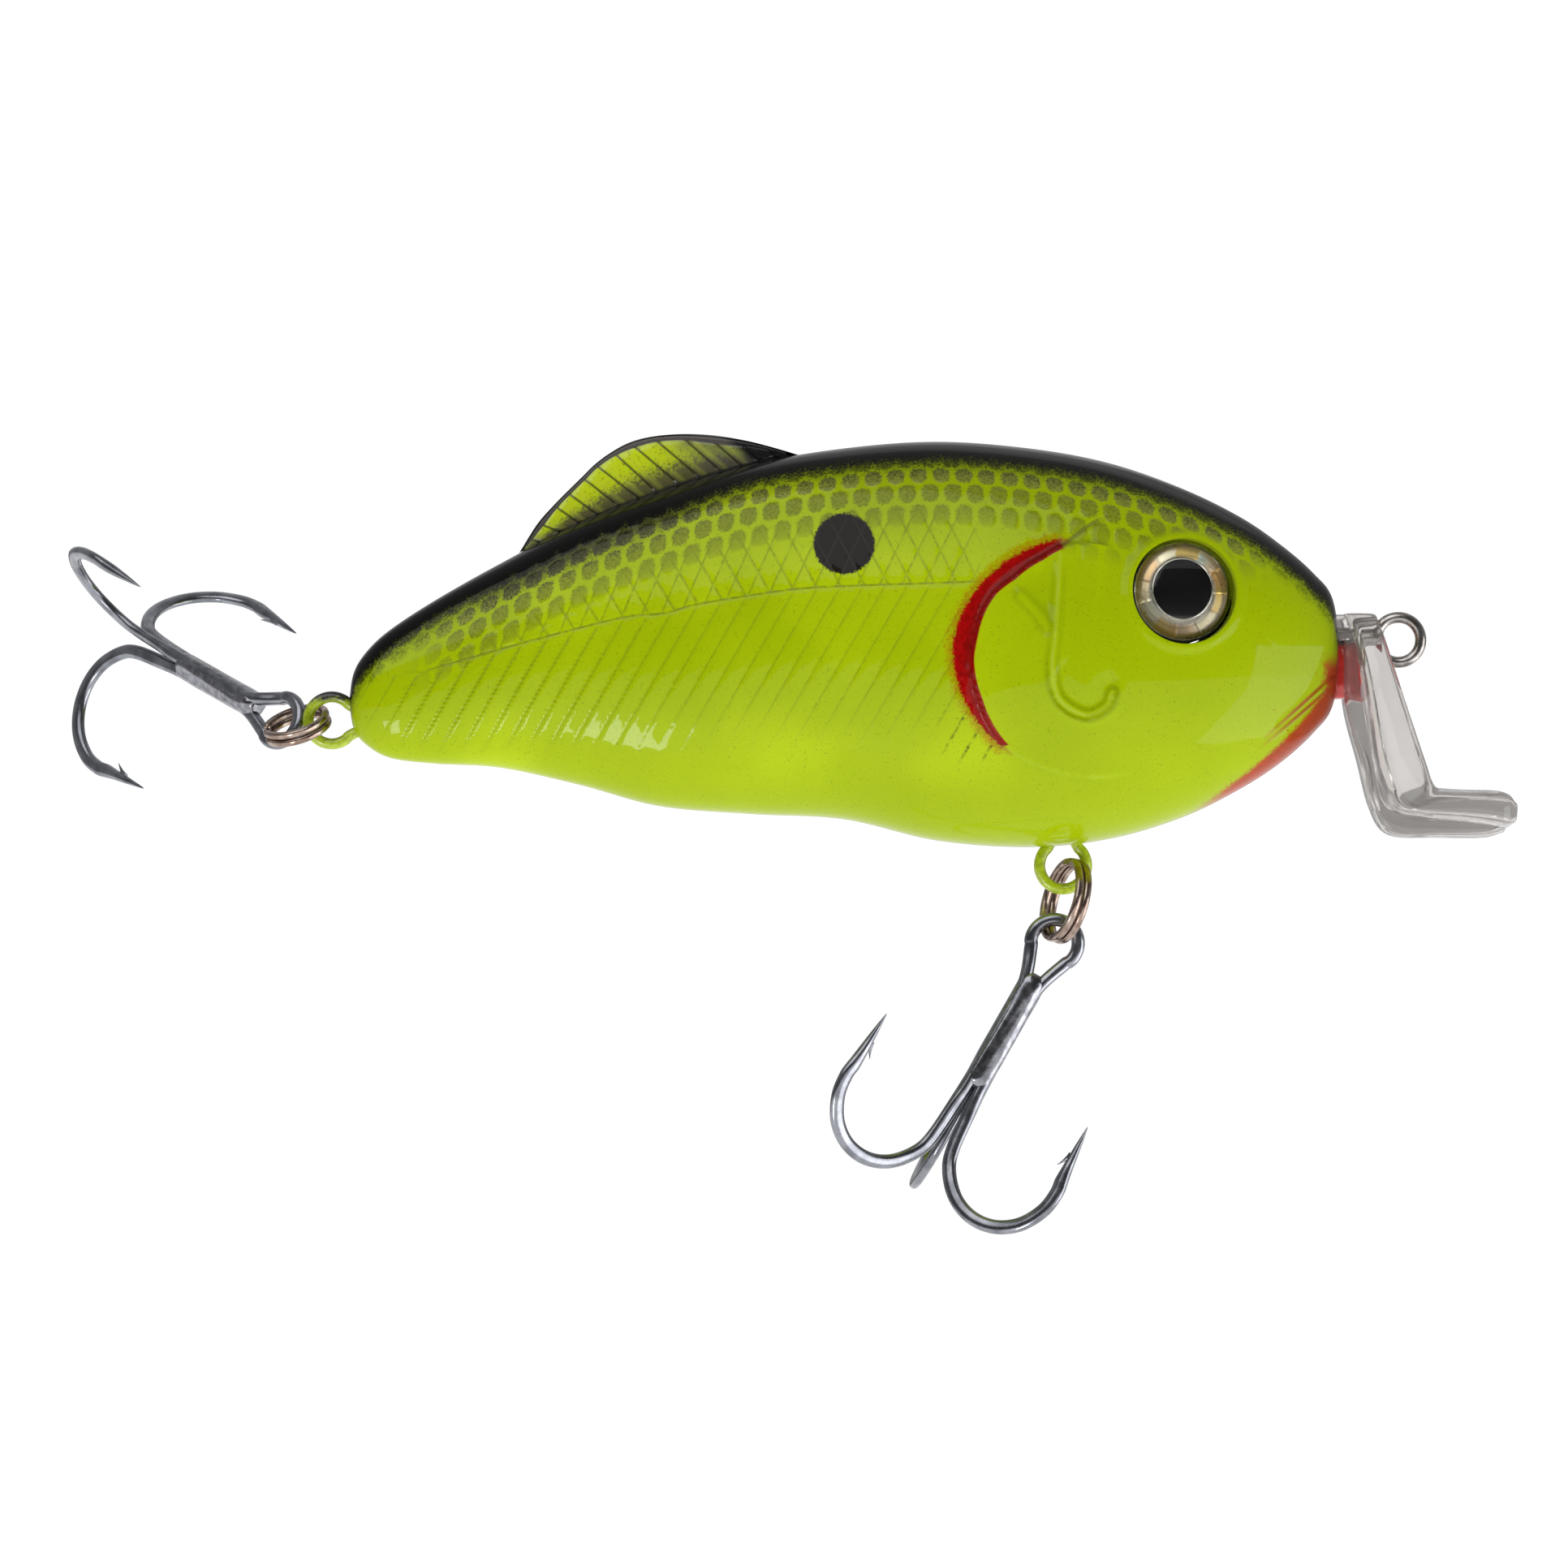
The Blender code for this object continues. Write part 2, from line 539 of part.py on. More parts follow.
def hook_path(top, axis, out, side, wire_off, from_shank):
    """One hook: from the shank end at depth `from_shank`, round the bend, to the tip."""
    p = [top + axis * from_shank + out * wire_off, top + axis * (BRAZE_END - 0.8) + out * wire_off]
    depth = HOOK_TOTAL - HOOK_WIRE / 2 - BEND_R
    mid = BEND_R + 0.95
    p.append(top + axis * (BRAZE_END + 1.6) + out * (wire_off + 0.12))
    for a in (168, 146, 120, 95, 70, 45, 20, 0, -14):
        r = math.radians(a)
        p.append(top + axis * (depth + BEND_R * math.sin(r)) + out * (mid + BEND_R * math.cos(r)))
    p.append(top + axis * (HOOK_TOTAL - TIP_RISE + 2.9) + out * (mid + BEND_R - 0.25))
    p.append(top + axis * (HOOK_TOTAL - TIP_RISE) + out * (mid + BEND_R - 0.45))
    return p


for tag, (top, axis, plane, turn) in TREBLE.items():
    axis = axis.normalized()
    e = (plane - axis * plane.dot(axis)).normalized()
    f = axis.cross(e)
    contact = top + axis * (HOOK_WIRE + 0.3)
    off = 0.66
    dirs = []
    for k in range(3):
        a = math.radians(turn + 120 * k)
        dirs.append(e * math.cos(a) + f * math.sin(a))
    side = e if dirs[0].dot(e) > 0 else -e
    # double hook: tip, bend, shank, eye, shank, bend, tip
    first = hook_path(top, axis, dirs[0], side, off, EYE_LEN + HOOK_WIRE + 0.9)
    second = hook_path(top, axis, dirs[1], side, off, EYE_LEN + HOOK_WIRE + 0.9)
    third = hook_path(top, axis, dirs[2], side, off, EYE_LEN + HOOK_WIRE + 0.6)
    c = top + axis * (HOOK_WIRE / 2 + EYE_WID / 2)
    loop = arc(c, e, -axis, EYE_WID / 2, -38, 218, 12)
    if dirs[0].dot(e) < dirs[1].dot(e):
        loop = list(reversed(loop))
    path = list(reversed(first)) + loop + second
    n = len(path)
    radii = [1.0] * n
    radii[0] = radii[-1] = 0.12
    radii[1] = radii[-2] = 0.9
    double = to_mesh(wire(f"{tag}_treble_double", path, HOOK_WIRE, BLACK_NICKEL, origin=contact, radii=radii))
    radii = [1.0] * len(third)
    radii[-1], radii[-2] = 0.12, 0.9
    single = to_mesh(wire(f"{tag}_treble_single", third, HOOK_WIRE, BLACK_NICKEL, origin=contact, radii=radii))

# ---------------------------------------------------------------- ballast and rattles
weight = cylinder("keel_weight", 2.85, 11.0, (1, 0, 0), (-37.4, 0, -10.4), 24, LEAD)
sphere("knocker_ball", BALL_BIG / 2, (-31.6, 0.0, 0.35), BALL, 16, 10)
for k in range(3):
    sphere(f"rattle_ball_{k + 1}", BALL_SMALL / 2, (-57.9 + 3.1 * k, 0.0, -1.1), BALL, 12, 8)
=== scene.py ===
"""Looks of the crankbait lure. Frame: +X to the nose, +Z up, origin at the line tie. Lengths are in mm until MM."""

import math

import bmesh
import bpy
import numpy as np
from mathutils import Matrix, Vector


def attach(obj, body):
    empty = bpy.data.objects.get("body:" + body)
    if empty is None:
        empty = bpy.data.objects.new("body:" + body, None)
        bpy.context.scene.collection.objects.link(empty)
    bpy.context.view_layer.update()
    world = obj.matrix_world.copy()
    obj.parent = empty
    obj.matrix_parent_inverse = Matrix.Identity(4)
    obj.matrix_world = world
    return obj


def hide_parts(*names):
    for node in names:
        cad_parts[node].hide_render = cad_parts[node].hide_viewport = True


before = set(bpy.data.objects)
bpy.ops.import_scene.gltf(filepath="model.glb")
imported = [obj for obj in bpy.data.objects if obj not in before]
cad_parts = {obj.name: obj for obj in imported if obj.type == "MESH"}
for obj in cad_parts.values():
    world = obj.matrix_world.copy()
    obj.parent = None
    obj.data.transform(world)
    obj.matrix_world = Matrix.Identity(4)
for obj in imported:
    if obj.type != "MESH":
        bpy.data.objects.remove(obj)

MM = 0.001
scene = bpy.context.scene


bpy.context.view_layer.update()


# ---------------------------------------------------------------- numbers
def smooth(a, b, x):
    t = np.clip((np.asarray(x, float) - a) / (b - a), 0.0, 1.0)
    return t * t * (3 - 2 * t)


def catmull(points, per, closed=False):
    pts = [np.array(p, float) for p in points]
    if closed:
        ext = [pts[-1]] + pts + [pts[0], pts[1]]
    else:
        ext = [2 * pts[0] - pts[1]] + pts + [2 * pts[-1] - pts[-2]]
    out = []
    for a, b, c, d in zip(ext, ext[1:], ext[2:], ext[3:]):
        for k in range(per):
            t = k / per
            out.append(0.5 * (2 * b + (c - a) * t + (2 * a - 5 * b + 4 * c - d) * t**2 + (3 * b - a - 3 * c + d) * t**3))
    if not closed:
        out.append(pts[-1])
    return np.array(out)


def resample(path, step, closed=False):
    p = np.asarray(path, float)
    if closed:
        p = np.vstack([p, p[:1]])
    s = np.concatenate([[0], np.cumsum(np.linalg.norm(np.diff(p, axis=0), axis=1))])
    keep = np.concatenate([[True], np.diff(s) > 1e-9])
    p, s = p[keep], s[keep]
    n = max(int(round(s[-1] / step)), 4)
    t = np.linspace(0, s[-1], n + 1)
    q = np.stack([np.interp(t, s, p[:, k]) for k in range(p.shape[1])], axis=1)
    return q[:-1] if closed else q


def unit(v):
    v = np.asarray(v, float)
    return v / np.maximum(np.linalg.norm(v, axis=-1, keepdims=True), 1e-12)


def polydist(x, z, pts):
    """Distance to a polyline in the XZ plane, and how far along it (0 to 1) the nearest point is."""
    pts = np.asarray(pts, float)
    seg = np.linalg.norm(np.diff(pts, axis=0), axis=1)
    total = seg.sum()
    best = np.full(np.shape(x), 1e9)
    along = np.zeros(np.shape(x))
    run = 0.0
    for a, b, length in zip(pts, pts[1:], seg):
        d = (b - a) / length
        t = np.clip((x - a[0]) * d[0] + (z - a[1]) * d[1], 0, length)
        dist = np.hypot(x - a[0] - d[0] * t, z - a[1] - d[1] * t)
        near = dist < best
        best = np.where(near, dist, best)
        along = np.where(near, (run + t) / total, along)
        run += length
    return best, along


# ---------------------------------------------------------------- node graphs
class E:
    """A value in a shader graph, with arithmetic."""

    def __init__(self, nt, sock):
        self.nt, self.s = nt, sock

    def op(self, name, *args):
        n = self.nt.nodes.new("ShaderNodeMath")
        n.operation = name
        for i, a in enumerate((self,) + args):
            if isinstance(a, E):
                self.nt.links.new(a.s, n.inputs[i])
            else:
                n.inputs[i].default_value = float(a)
        return E(self.nt, n.outputs[0])

    def __add__(self, o):
        return self.op("ADD", o)

    def __sub__(self, o):
        return self.op("SUBTRACT", o)

    def __mul__(self, o):
        return self.op("MULTIPLY", o)

    def __truediv__(self, o):
        return self.op("DIVIDE", o)

    def max(self, o):
        return self.op("MAXIMUM", o)

    def min(self, o):
        return self.op("MINIMUM", o)

    def abs(self):
        return self.op("ABSOLUTE")

    def inv(self):
        return (self * -1.0) + 1.0

    def tri(self):
        """Distance to the nearest whole number."""
        return self.op("PINGPONG", 0.5)

    def step(self, a, b):
        n = self.nt.nodes.new("ShaderNodeMapRange")
        n.interpolation_type = "SMOOTHSTEP"
        self.nt.links.new(self.s, n.inputs["Value"])
        lo, hi = (a, b) if a < b else (b, a)
        n.inputs["From Min"].default_value = lo
        n.inputs["From Max"].default_value = hi
        n.inputs["To Min"].default_value = 0.0 if a < b else 1.0
        n.inputs["To Max"].default_value = 1.0 if a < b else 0.0
        return E(self.nt, n.outputs["Result"])


def lin(r, g, b):
    """Linear colour from 8-bit display values."""
    out = []
    for v in (r, g, b):
        v /= 255.0
        out.append(v / 12.92 if v <= 0.04045 else ((v + 0.055) / 1.055) ** 2.4)
    return (*out, 1.0)


class Mat:
    """A material with one Principled shader, and helpers for its graph."""

    def __init__(self, name, **sockets):
        self.m = bpy.data.materials.new(name)
        self.m.use_nodes = True
        self.nt = self.m.node_tree
        self.b = self.nt.nodes["Principled BSDF"]
        for k, v in sockets.items():
            self.b.inputs[k.replace("_", " ")].default_value = v
        self._object = None

    def position(self):
        if self._object is None:
            self._object = self.nt.nodes.new("ShaderNodeTexCoord").outputs["Object"]
        return self._object

    def xyz(self):
        """Position in mm."""
        n = self.nt.nodes.new("ShaderNodeSeparateXYZ")
        self.nt.links.new(self.position(), n.inputs[0])
        return [E(self.nt, o) * 1000.0 for o in n.outputs]

    def attr(self, name):
        n = self.nt.nodes.new("ShaderNodeAttribute")
        n.attribute_name = name
        s = self.nt.nodes.new("ShaderNodeSeparateXYZ")
        self.nt.links.new(n.outputs["Vector"], s.inputs[0])
        return [E(self.nt, o) for o in s.outputs]

    def noise(self, size, detail=2.0, rough=0.5, vector=None, stretch=None):
        """Noise with features about `size` mm."""
        n = self.nt.nodes.new("ShaderNodeTexNoise")
        n.inputs["Scale"].default_value = 1000.0 / size
        n.inputs["Detail"].default_value = detail
        n.inputs["Roughness"].default_value = rough
        src = vector or self.position()
        if stretch:
            mp = self.nt.nodes.new("ShaderNodeMapping")
            mp.inputs["Scale"].default_value = stretch
            self.nt.links.new(src, mp.inputs[0])
            src = mp.outputs[0]
        self.nt.links.new(src, n.inputs["Vector"])
        return E(self.nt, n.outputs[0])

    def cells(self, size, feature="F1"):
        n = self.nt.nodes.new("ShaderNodeTexVoronoi")
        n.feature = feature
        n.inputs["Scale"].default_value = 1000.0 / size
        self.nt.links.new(self.position(), n.inputs["Vector"])
        return E(self.nt, n.outputs["Distance"])

    def mix(self, fac, a, b):
        n = self.nt.nodes.new("ShaderNodeMix")
        n.data_type = "RGBA"
        n.clamp_factor = True
        for sock, v in ((n.inputs[0], fac), (n.inputs[6], a), (n.inputs[7], b)):
            if isinstance(v, E):
                self.nt.links.new(v.s, sock)
            elif isinstance(v, bpy.types.NodeSocket):
                self.nt.links.new(v, sock)
            else:
                sock.default_value = v
        return n.outputs[2]

    def set(self, socket, value):
        self.nt.links.new(value.s if isinstance(value, E) else value, self.b.inputs[socket])

    def bump(self, height, distance, strength=1.0):
        n = self.nt.nodes.new("ShaderNodeBump")
        n.inputs["Distance"].default_value = distance * MM
        n.inputs["Strength"].default_value = strength
        self.nt.links.new(height.s, n.inputs["Height"])
        self.nt.links.new(n.outputs[0], self.b.inputs["Normal"])
        return n


# ---------------------------------------------------------------- mesh helpers
def add_attr(me, name, values):
    a = me.attributes.new(name, "FLOAT_VECTOR", "POINT")
    a.data.foreach_set("vector", np.ascontiguousarray(values, dtype=np.float32).ravel())


def make_mesh(name, verts, faces, recalc=True):
    me = bpy.data.meshes.new(name)
    me.from_pydata((np.asarray(verts, float) * MM).tolist(), [], [list(map(int, f)) for f in faces])
    me.validate()
    if recalc:
        bm = bmesh.new()
        bm.from_mesh(me)
        bmesh.ops.recalc_face_normals(bm, faces=bm.faces)
        bm.to_mesh(me)
        bm.free()
    me.update()
    return me


def finish_mesh(me, sharp=40):
    me.shade_smooth()
    me.set_sharp_from_angle(angle=math.radians(sharp))


def piece(name, me, mat, body="root", cad=(), sharp=40):
    finish_mesh(me, sharp)
    me.materials.clear()
    me.materials.append(mat.m)
    o = bpy.data.objects.new(name, me)
    scene.collection.objects.link(o)
    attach(o, body)
    if cad:
        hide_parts(*cad)
    return o


def grid_faces(nu, nv, wrap_u=False, wrap_v=False, base=0):
    iu = np.arange(nu if wrap_u else nu - 1)
    iv = np.arange(nv if wrap_v else nv - 1)
    u, v = np.meshgrid(iu, iv, indexing="ij")
    u2, v2 = (u + 1) % nu, (v + 1) % nv
    f = np.stack([u * nv + v, u2 * nv + v, u2 * nv + v2, u * nv + v2], axis=-1).reshape(-1, 4)
    return (f + base).tolist()


def tube(path, radius, normal=None, sides=16, closed=False, flat=(1.0, 1.0), power=2.0, ends="round"):
    """verts and faces of a swept wire. radius is one number or one per point; normal is the section's first axis, one or per point; flat scales the section along it and across it."""
    p = np.asarray(path, float)
    n = len(p)
    if closed:
        t = unit(np.roll(p, -1, axis=0) - np.roll(p, 1, axis=0))
    else:
        t = unit(np.gradient(p, axis=0))
    r = np.broadcast_to(np.asarray(radius, float), (n,)).copy()
    if normal is None:
        ref = np.array([0.0, 0.0, 1.0]) if abs(t[0][2]) < 0.9 else np.array([1.0, 0, 0])
        cur = unit(ref - t[0] * ref.dot(t[0]))
        nn = []
        for k in range(n):
            cur = unit(cur - t[k] * cur.dot(t[k]))
            nn.append(cur)
        nn = np.array(nn)
    else:
        nn = np.broadcast_to(np.asarray(normal, float), (n, 3)).copy()
        nn = unit(nn - t * (nn * t).sum(1, keepdims=True))
    b = np.cross(t, nn)
    fa = np.broadcast_to(np.asarray(flat[0], float), (n,))
    fb = np.broadcast_to(np.asarray(flat[1], float), (n,))
    ang = np.linspace(0, 2 * math.pi, sides, endpoint=False)
    ca, sa = np.cos(ang), np.sin(ang)
    ca = np.sign(ca) * np.abs(ca) ** (2 / power)
    sa = np.sign(sa) * np.abs(sa) ** (2 / power)

    def ring(k, scale=1.0, push=0.0):
        return p[k] + t[k] * push + (nn[k] * fa[k])[None] * (ca * r[k] * scale)[:, None] + (b[k] * fb[k])[None] * (sa * r[k] * scale)[:, None]

    rings = [ring(k) for k in range(n)]
    if closed:
        return np.concatenate(rings), grid_faces(n, sides, True, True)
    if ends == "round":
        rings = [ring(0, 0.5, -r[0] * 0.62), ring(0, 0.87, -r[0] * 0.36)] + rings + [ring(n - 1, 0.87, r[-1] * 0.36), ring(n - 1, 0.5, r[-1] * 0.62)]
    verts = np.concatenate(rings)
    m = len(rings)
    faces = grid_faces(m, sides, False, True)
    tip0 = rings[0].mean(0) - t[0] * r[0] * (0.1 if ends == "round" else 0.0)
    tip1 = rings[-1].mean(0) + t[-1] * r[-1] * (0.1 if ends == "round" else 0.0)
    i0 = len(verts)
    verts = np.vstack([verts, tip0, tip1])
    for k in range(sides):
        faces.append([(k + 1) % sides, k, i0])
        faces.append([(m - 1) * sides + k, (m - 1) * sides + (k + 1) % sides, i0 + 1])
    return verts, faces


def join(parts):
    verts, faces, base = [], [], 0
    for v, f in parts:
        verts.append(np.asarray(v, float))
        faces += [[i + base for i in q] for q in f]
        base += len(v)
    return np.concatenate(verts), faces


def loft(rings, cap=True):
    """Closed solid through rings of equal length."""
    n = len(rings[0])
    verts = np.concatenate(rings)
    faces = grid_faces(len(rings), n, False, True)
    if cap:
        a, b = len(verts), len(verts) + 1
        verts = np.vstack([verts, rings[0].mean(0), rings[-1].mean(0)])
        last = (len(rings) - 1) * n
        for k in range(n):
            faces.append([(k + 1) % n, k, a])
            faces.append([last + k, last + (k + 1) % n, b])
    return verts, faces


def lathe(profile, centre, axis, segments=96, hint=(1, 0, 0), shape=None):
    """Turned solid: profile is (radius, height) from the axis to the axis."""
    w = unit(axis)
    u = unit(np.asarray(hint, float) - w * np.dot(hint, w))
    v = np.cross(w, u)
    verts, faces, rows = [], [], []
    for r, h in profile:
        if r < 1e-6:
            rows.append([len(verts)])
            verts.append(np.asarray(centre) + w * h)
            continue
        row = []
        for k in range(segments):
            a = 2 * math.pi * k / segments
            rr, hh = (r, h) if shape is None else shape(r, h, a)
            row.append(len(verts))
            verts.append(np.asarray(centre) + u * rr * math.cos(a) + v * rr * math.sin(a) + w * hh)
        rows.append(row)
    for a, b in zip(rows, rows[1:]):
        for k in range(segments):
            n = (k + 1) % segments
            if len(a) == 1:
                faces.append([a[0], b[k], b[n]])
            elif len(b) == 1:
                faces.append([a[k], b[0], a[n]])
            else:
                faces.append([a[k], b[k], b[n], a[n]])
    return np.array(verts), faces


def boolean(me, others, how):
    """A new mesh: me joined with, or cut by, the others."""
    o = bpy.data.objects.new("work", me)
    scene.collection.objects.link(o)
    tools = []
    for other in others:
        t = bpy.data.objects.new("tool", other)
        scene.collection.objects.link(t)
        tools.append(t)
        m = o.modifiers.new("b", "BOOLEAN")
        m.operation, m.object, m.solver = how, t, "MANIFOLD"
    bpy.context.view_layer.update()
    deps = bpy.context.evaluated_depsgraph_get()
    out = bpy.data.meshes.new_from_object(o.evaluated_get(deps))
    for t in [o] + tools:
        bpy.data.objects.remove(t)
    return out


# ---------------------------------------------------------------- body sizes
BODY = [
    (-79.5, -4.6, -4.6, 0.0), (-79.1, -2.4, -6.8, 1.4), (-78.0, -0.7, -8.1, 2.3), (-76.2, 0.9, -9.0, 2.8),
    (-72.8, 3.1, -9.4, 3.4), (-68.0, 5.8, -9.7, 4.2), (-62.0, 8.9, -11.0, 5.3), (-56.0, 11.2, -12.6, 6.4),
    (-49.0, 13.3, -13.2, 7.4), (-42.0, 14.5, -13.6, 8.2), (-35.0, 15.0, -15.2, 8.9), (-28.0, 14.5, -15.7, 9.2),
    (-22.0, 13.4, -15.1, 9.1), (-16.5, 11.5, -13.5, 8.4), (-12.0, 9.3, -11.3, 7.2), (-8.8, 7.1, -9.2, 5.8),
    (-6.4, 5.0, -7.0, 4.2), (-5.0, 3.1, -5.0, 2.7), (-4.4, -0.9, -0.9, 0.0),
]
WALL, FULLNESS = 1.2, 0.85
EYE_X, EYE_Z, EYE_Y = -16.85, 3.42, 6.35  # centre of the socket's floor
EYE_R = 3.95

dense = catmull(BODY, 60)
dx, dt, db, dh = (dense[:, k] for k in range(4))
dx = np.maximum.accumulate(dx + np.arange(len(dx)) * 1e-9)


def top_of(x):
    return np.interp(x, dx, dt)


def low_of(x):
    return np.interp(x, dx, db)


def half_of(x):
    return np.interp(x, dx, dh)


LATERAL = [(-74.0, -2.5), (-71.21, -1.71), (-65.0, 0.0), (-58.66, 1.56), (-55.57, 1.87), (-52.9, 2.56), (-47.39, 3.44), (-44.48, 3.75), (-40.84, 3.9), (-32.54, 4.17)]
lat = catmull(LATERAL, 12)


def lateral_of(x):
    return np.interp(x, lat[:, 0], lat[:, 1])


PLATE_C = (-24.04, -1.72)


def polar_table(points):
    p = np.array(points)
    th = np.degrees(np.arctan2(p[:, 1] - PLATE_C[1], -(p[:, 0] - PLATE_C[0])))
    r = np.hypot(p[:, 0] - PLATE_C[0], p[:, 1] - PLATE_C[1])
    order = np.argsort(th)
    return th[order], r[order]


GILL_OUT = polar_table([(-25.98, 7.26), (-28.62, 6.4), (-31.04, 4.7), (-32.86, 2.46), (-33.76, 0.34), (-33.87, -1.21), (-33.52, -3.29), (-32.61, -5.41), (-31.46, -6.92), (-30.22, -8.1)])
PLATE = polar_table([(-25.85, 6.85), (-27.32, 6.0), (-29.47, 4.5), (-30.9, 3.4), (-31.64, 2.28), (-32.37, -0.02), (-32.63, -1.71), (-31.96, -4.7), (-30.13, -8.01), (-27.85, -9.35), (-25.0, -10.19), (-22.52, -10.32), (-20.6, -10.1)])
J_RIDGE = catmull([(-25.95, 6.3), (-26.34, 0.45), (-26.55, -2.39), (-26.0, -4.6), (-24.04, -5.78), (-22.52, -5.17), (-22.04, -4.14)], 10)
SHORT_RIDGE = [(-28.9, 3.1), (-27.54, 1.72), (-26.9, 0.7)]
CHEEK_GROOVE = [(-25.81, 6.85), (-23.87, 8.35), (-21.57, 9.75)]
MOUTH = [[(-5.1, -2.7), (-7.8, -5.1), (-10.4, -7.4)], [(-5.3, -3.6), (-8.0, -5.9), (-10.9, -8.3)]]
SPOT = (-42.05, 7.04, 2.28)
PITCH = 1.70


def plate_fields(x, z):
    th = np.degrees(np.arctan2(z - PLATE_C[1], -(x - PLATE_C[0])))
    r = np.hypot(x - PLATE_C[0], z - PLATE_C[1])
    ri = np.interp(th, *PLATE)
    ro = np.interp(th, *GILL_OUT)
    span = smooth(104, 98, th) * smooth(-118, -88, th)
    gill = np.where((th > GILL_OUT[0][0]) & (th < GILL_OUT[0][-1]), ro - r, -3.0)
    ends = np.maximum(np.maximum(GILL_OUT[0][0] - th, th - GILL_OUT[0][-1]), 0) * 0.14
    gill = np.where(ends > 0, np.minimum(ro - r, 0.0) - ends, gill)
    return r - ri, gill, span, th


def groove(t, pitch, width):
    """1 on the lines where t is whole; pitch is their spacing in mm."""
    f = np.abs(t - np.round(t)) * pitch
    return np.exp(-((f / width) ** 2))


def relief(x, z):
    """How far the moulded detail stands out of the smooth body, in mm."""
    d = top_of(x) - z
    zl = z - lateral_of(x)
    h = np.zeros_like(x)
    behind = smooth(-31.0, -33.5, x)  # 1 on the flank, 0 on the head
    # scales
    w = np.interp(d, [0, 1.6, 2.75, 4.0, 5.8, 7.6, 9.4], [-2, -1, 0, 1, 2, 3, 4])
    row = np.round(w)
    u = (x + 39.0) / PITCH + np.where(row % 2 == 0, 0.5, 0.0)
    q = ((np.abs(u - np.round(u)) / 0.40) ** 2.6 + (np.abs(w - row) / 0.46) ** 2.6) ** (1 / 2.6)
    low = np.where(x > -25, 3.4, 2.6)
    mask = smooth(-1.0, -0.2, w) * (1 - smooth(low, low + 0.3, w)) * smooth(-75, -70, x) * smooth(-9, -13, x)
    eye = np.hypot(x + 16.6, z - 3.55)
    mask = mask * smooth(4.3, 5.2, eye)
    h += 0.04 * mask * (smooth(1.15, 0.6, q) - 0.35)
    # diamond lattice between the scales and the lateral line
    band = smooth(4.8, 6.4, d) * smooth(-0.05, 0.25, zl) * behind * smooth(-76, -71, x)
    for s in (0.5, -0.5):
        h -= 0.038 * band * groove((x + s * d) / PITCH, PITCH * 0.87, 0.19)
    # lateral line, stepped once for each rib
    saw = (x / 1.65 - np.floor(x / 1.65)) * 0.16
    h -= 0.055 * np.exp(-(((zl + saw - 0.08) / 0.13) ** 2)) * behind * smooth(-75, -70, x)
    # slanting ribs under it
    t = (x - 0.58 * z) / 1.65
    f = t - np.floor(t)
    rear = smooth(-50, -66, x)
    ribs = smooth(0.0, -0.5, zl) * behind * smooth(-9.5, -4.0 - 2.5 * rear, z) * smooth(-77, -74, x)
    h += ribs * (0.035 + 0.07 * rear) * (0.5 - f)
    h -= ribs * 0.032 * groove(t, 1.43, 0.17)
    # gill cover: raised edge, red trough behind it
    gi, go, span, th = plate_fields(x, z)
    h += span * (0.36 * np.exp(-np.maximum(-gi, 0) / 2.2) * smooth(0.10, -0.12, gi))
    trough = smooth(-0.1, 0.2, gi) * smooth(-0.7, 0.5, go)
    h -= 0.16 * trough
    # cheek ridges
    dist, al = polydist(x, z, J_RIDGE)
    low_part = smooth(0.42, 0.62, al)
    h += (0.10 + 0.08 * low_part) * np.exp(-((dist / (0.26 + 0.30 * low_part)) ** 2)) * smooth(0.0, 0.15, al)
    h += 0.06 * smooth(1.3, 0.0, dist) * (1 - low_part)
    inside = smooth(1.9, 0.3, dist) * smooth(0.3, 0.75, al) * ((z < -1.0) & (np.hypot(x + 24.2, z + 3.6) < 2.4))
    h -= 0.17 * inside
    dist, al = polydist(x, z, SHORT_RIDGE)
    h += 0.14 * np.exp(-((dist / 0.66) ** 2))
    dist, al = polydist(x, z, [(-27.6, 4.6), (-26.9, 2.6)])
    h -= 0.14 * np.exp(-((dist / 0.7) ** 2))
    dist, al = polydist(x, z, CHEEK_GROOVE)
    h -= 0.13 * np.exp(-((dist / 0.16) ** 2)) * (1 - 0.8 * smooth(0.5, 1.0, al))
    # rim round the eye
    h += 0.13 * np.exp(-(((eye - EYE_R - 0.25) / 0.42) ** 2))
    # mouth lines
    for k, line in enumerate(MOUTH):
        dist, al = polydist(x, z, line)
        h -= (0.16 - 0.06 * k) * np.exp(-((dist / 0.18) ** 2)) * smooth(1.0, 0.55, al)
    return h


def body_fields(co):
    """Fields that the paint reads, one row for each vertex: a, b and c are vectors."""
    x, y, z = co[:, 0], co[:, 1], co[:, 2]
    gi, go, span, th = plate_fields(x, z)
    d = top_of(x) - z
    jd, ja = polydist(x, z, J_RIDGE)
    sd, sa = polydist(x, z, SHORT_RIDGE)
    gd, ga = polydist(x, z, CHEEK_GROOVE)
    md = np.minimum(polydist(x, z, MOUTH[0])[0], polydist(x, z, MOUTH[1])[0])
    a = np.stack([d, z - lateral_of(x), z - low_of(x)], axis=1)
    b = np.stack([gi, go, np.hypot(x - SPOT[0], z - SPOT[1])], axis=1)
    c = np.stack([gd + 0.5 * smooth(0.6, 1.0, ga), md, np.hypot(x + 16.6, z - 3.55)], axis=1)
    e = np.stack([jd, ja, sd], axis=1)
    return {"paint_a": a, "paint_b": b, "paint_c": c, "paint_e": e}


# ---------------------------------------------------------------- paint
CHART = lin(176, 200, 4)


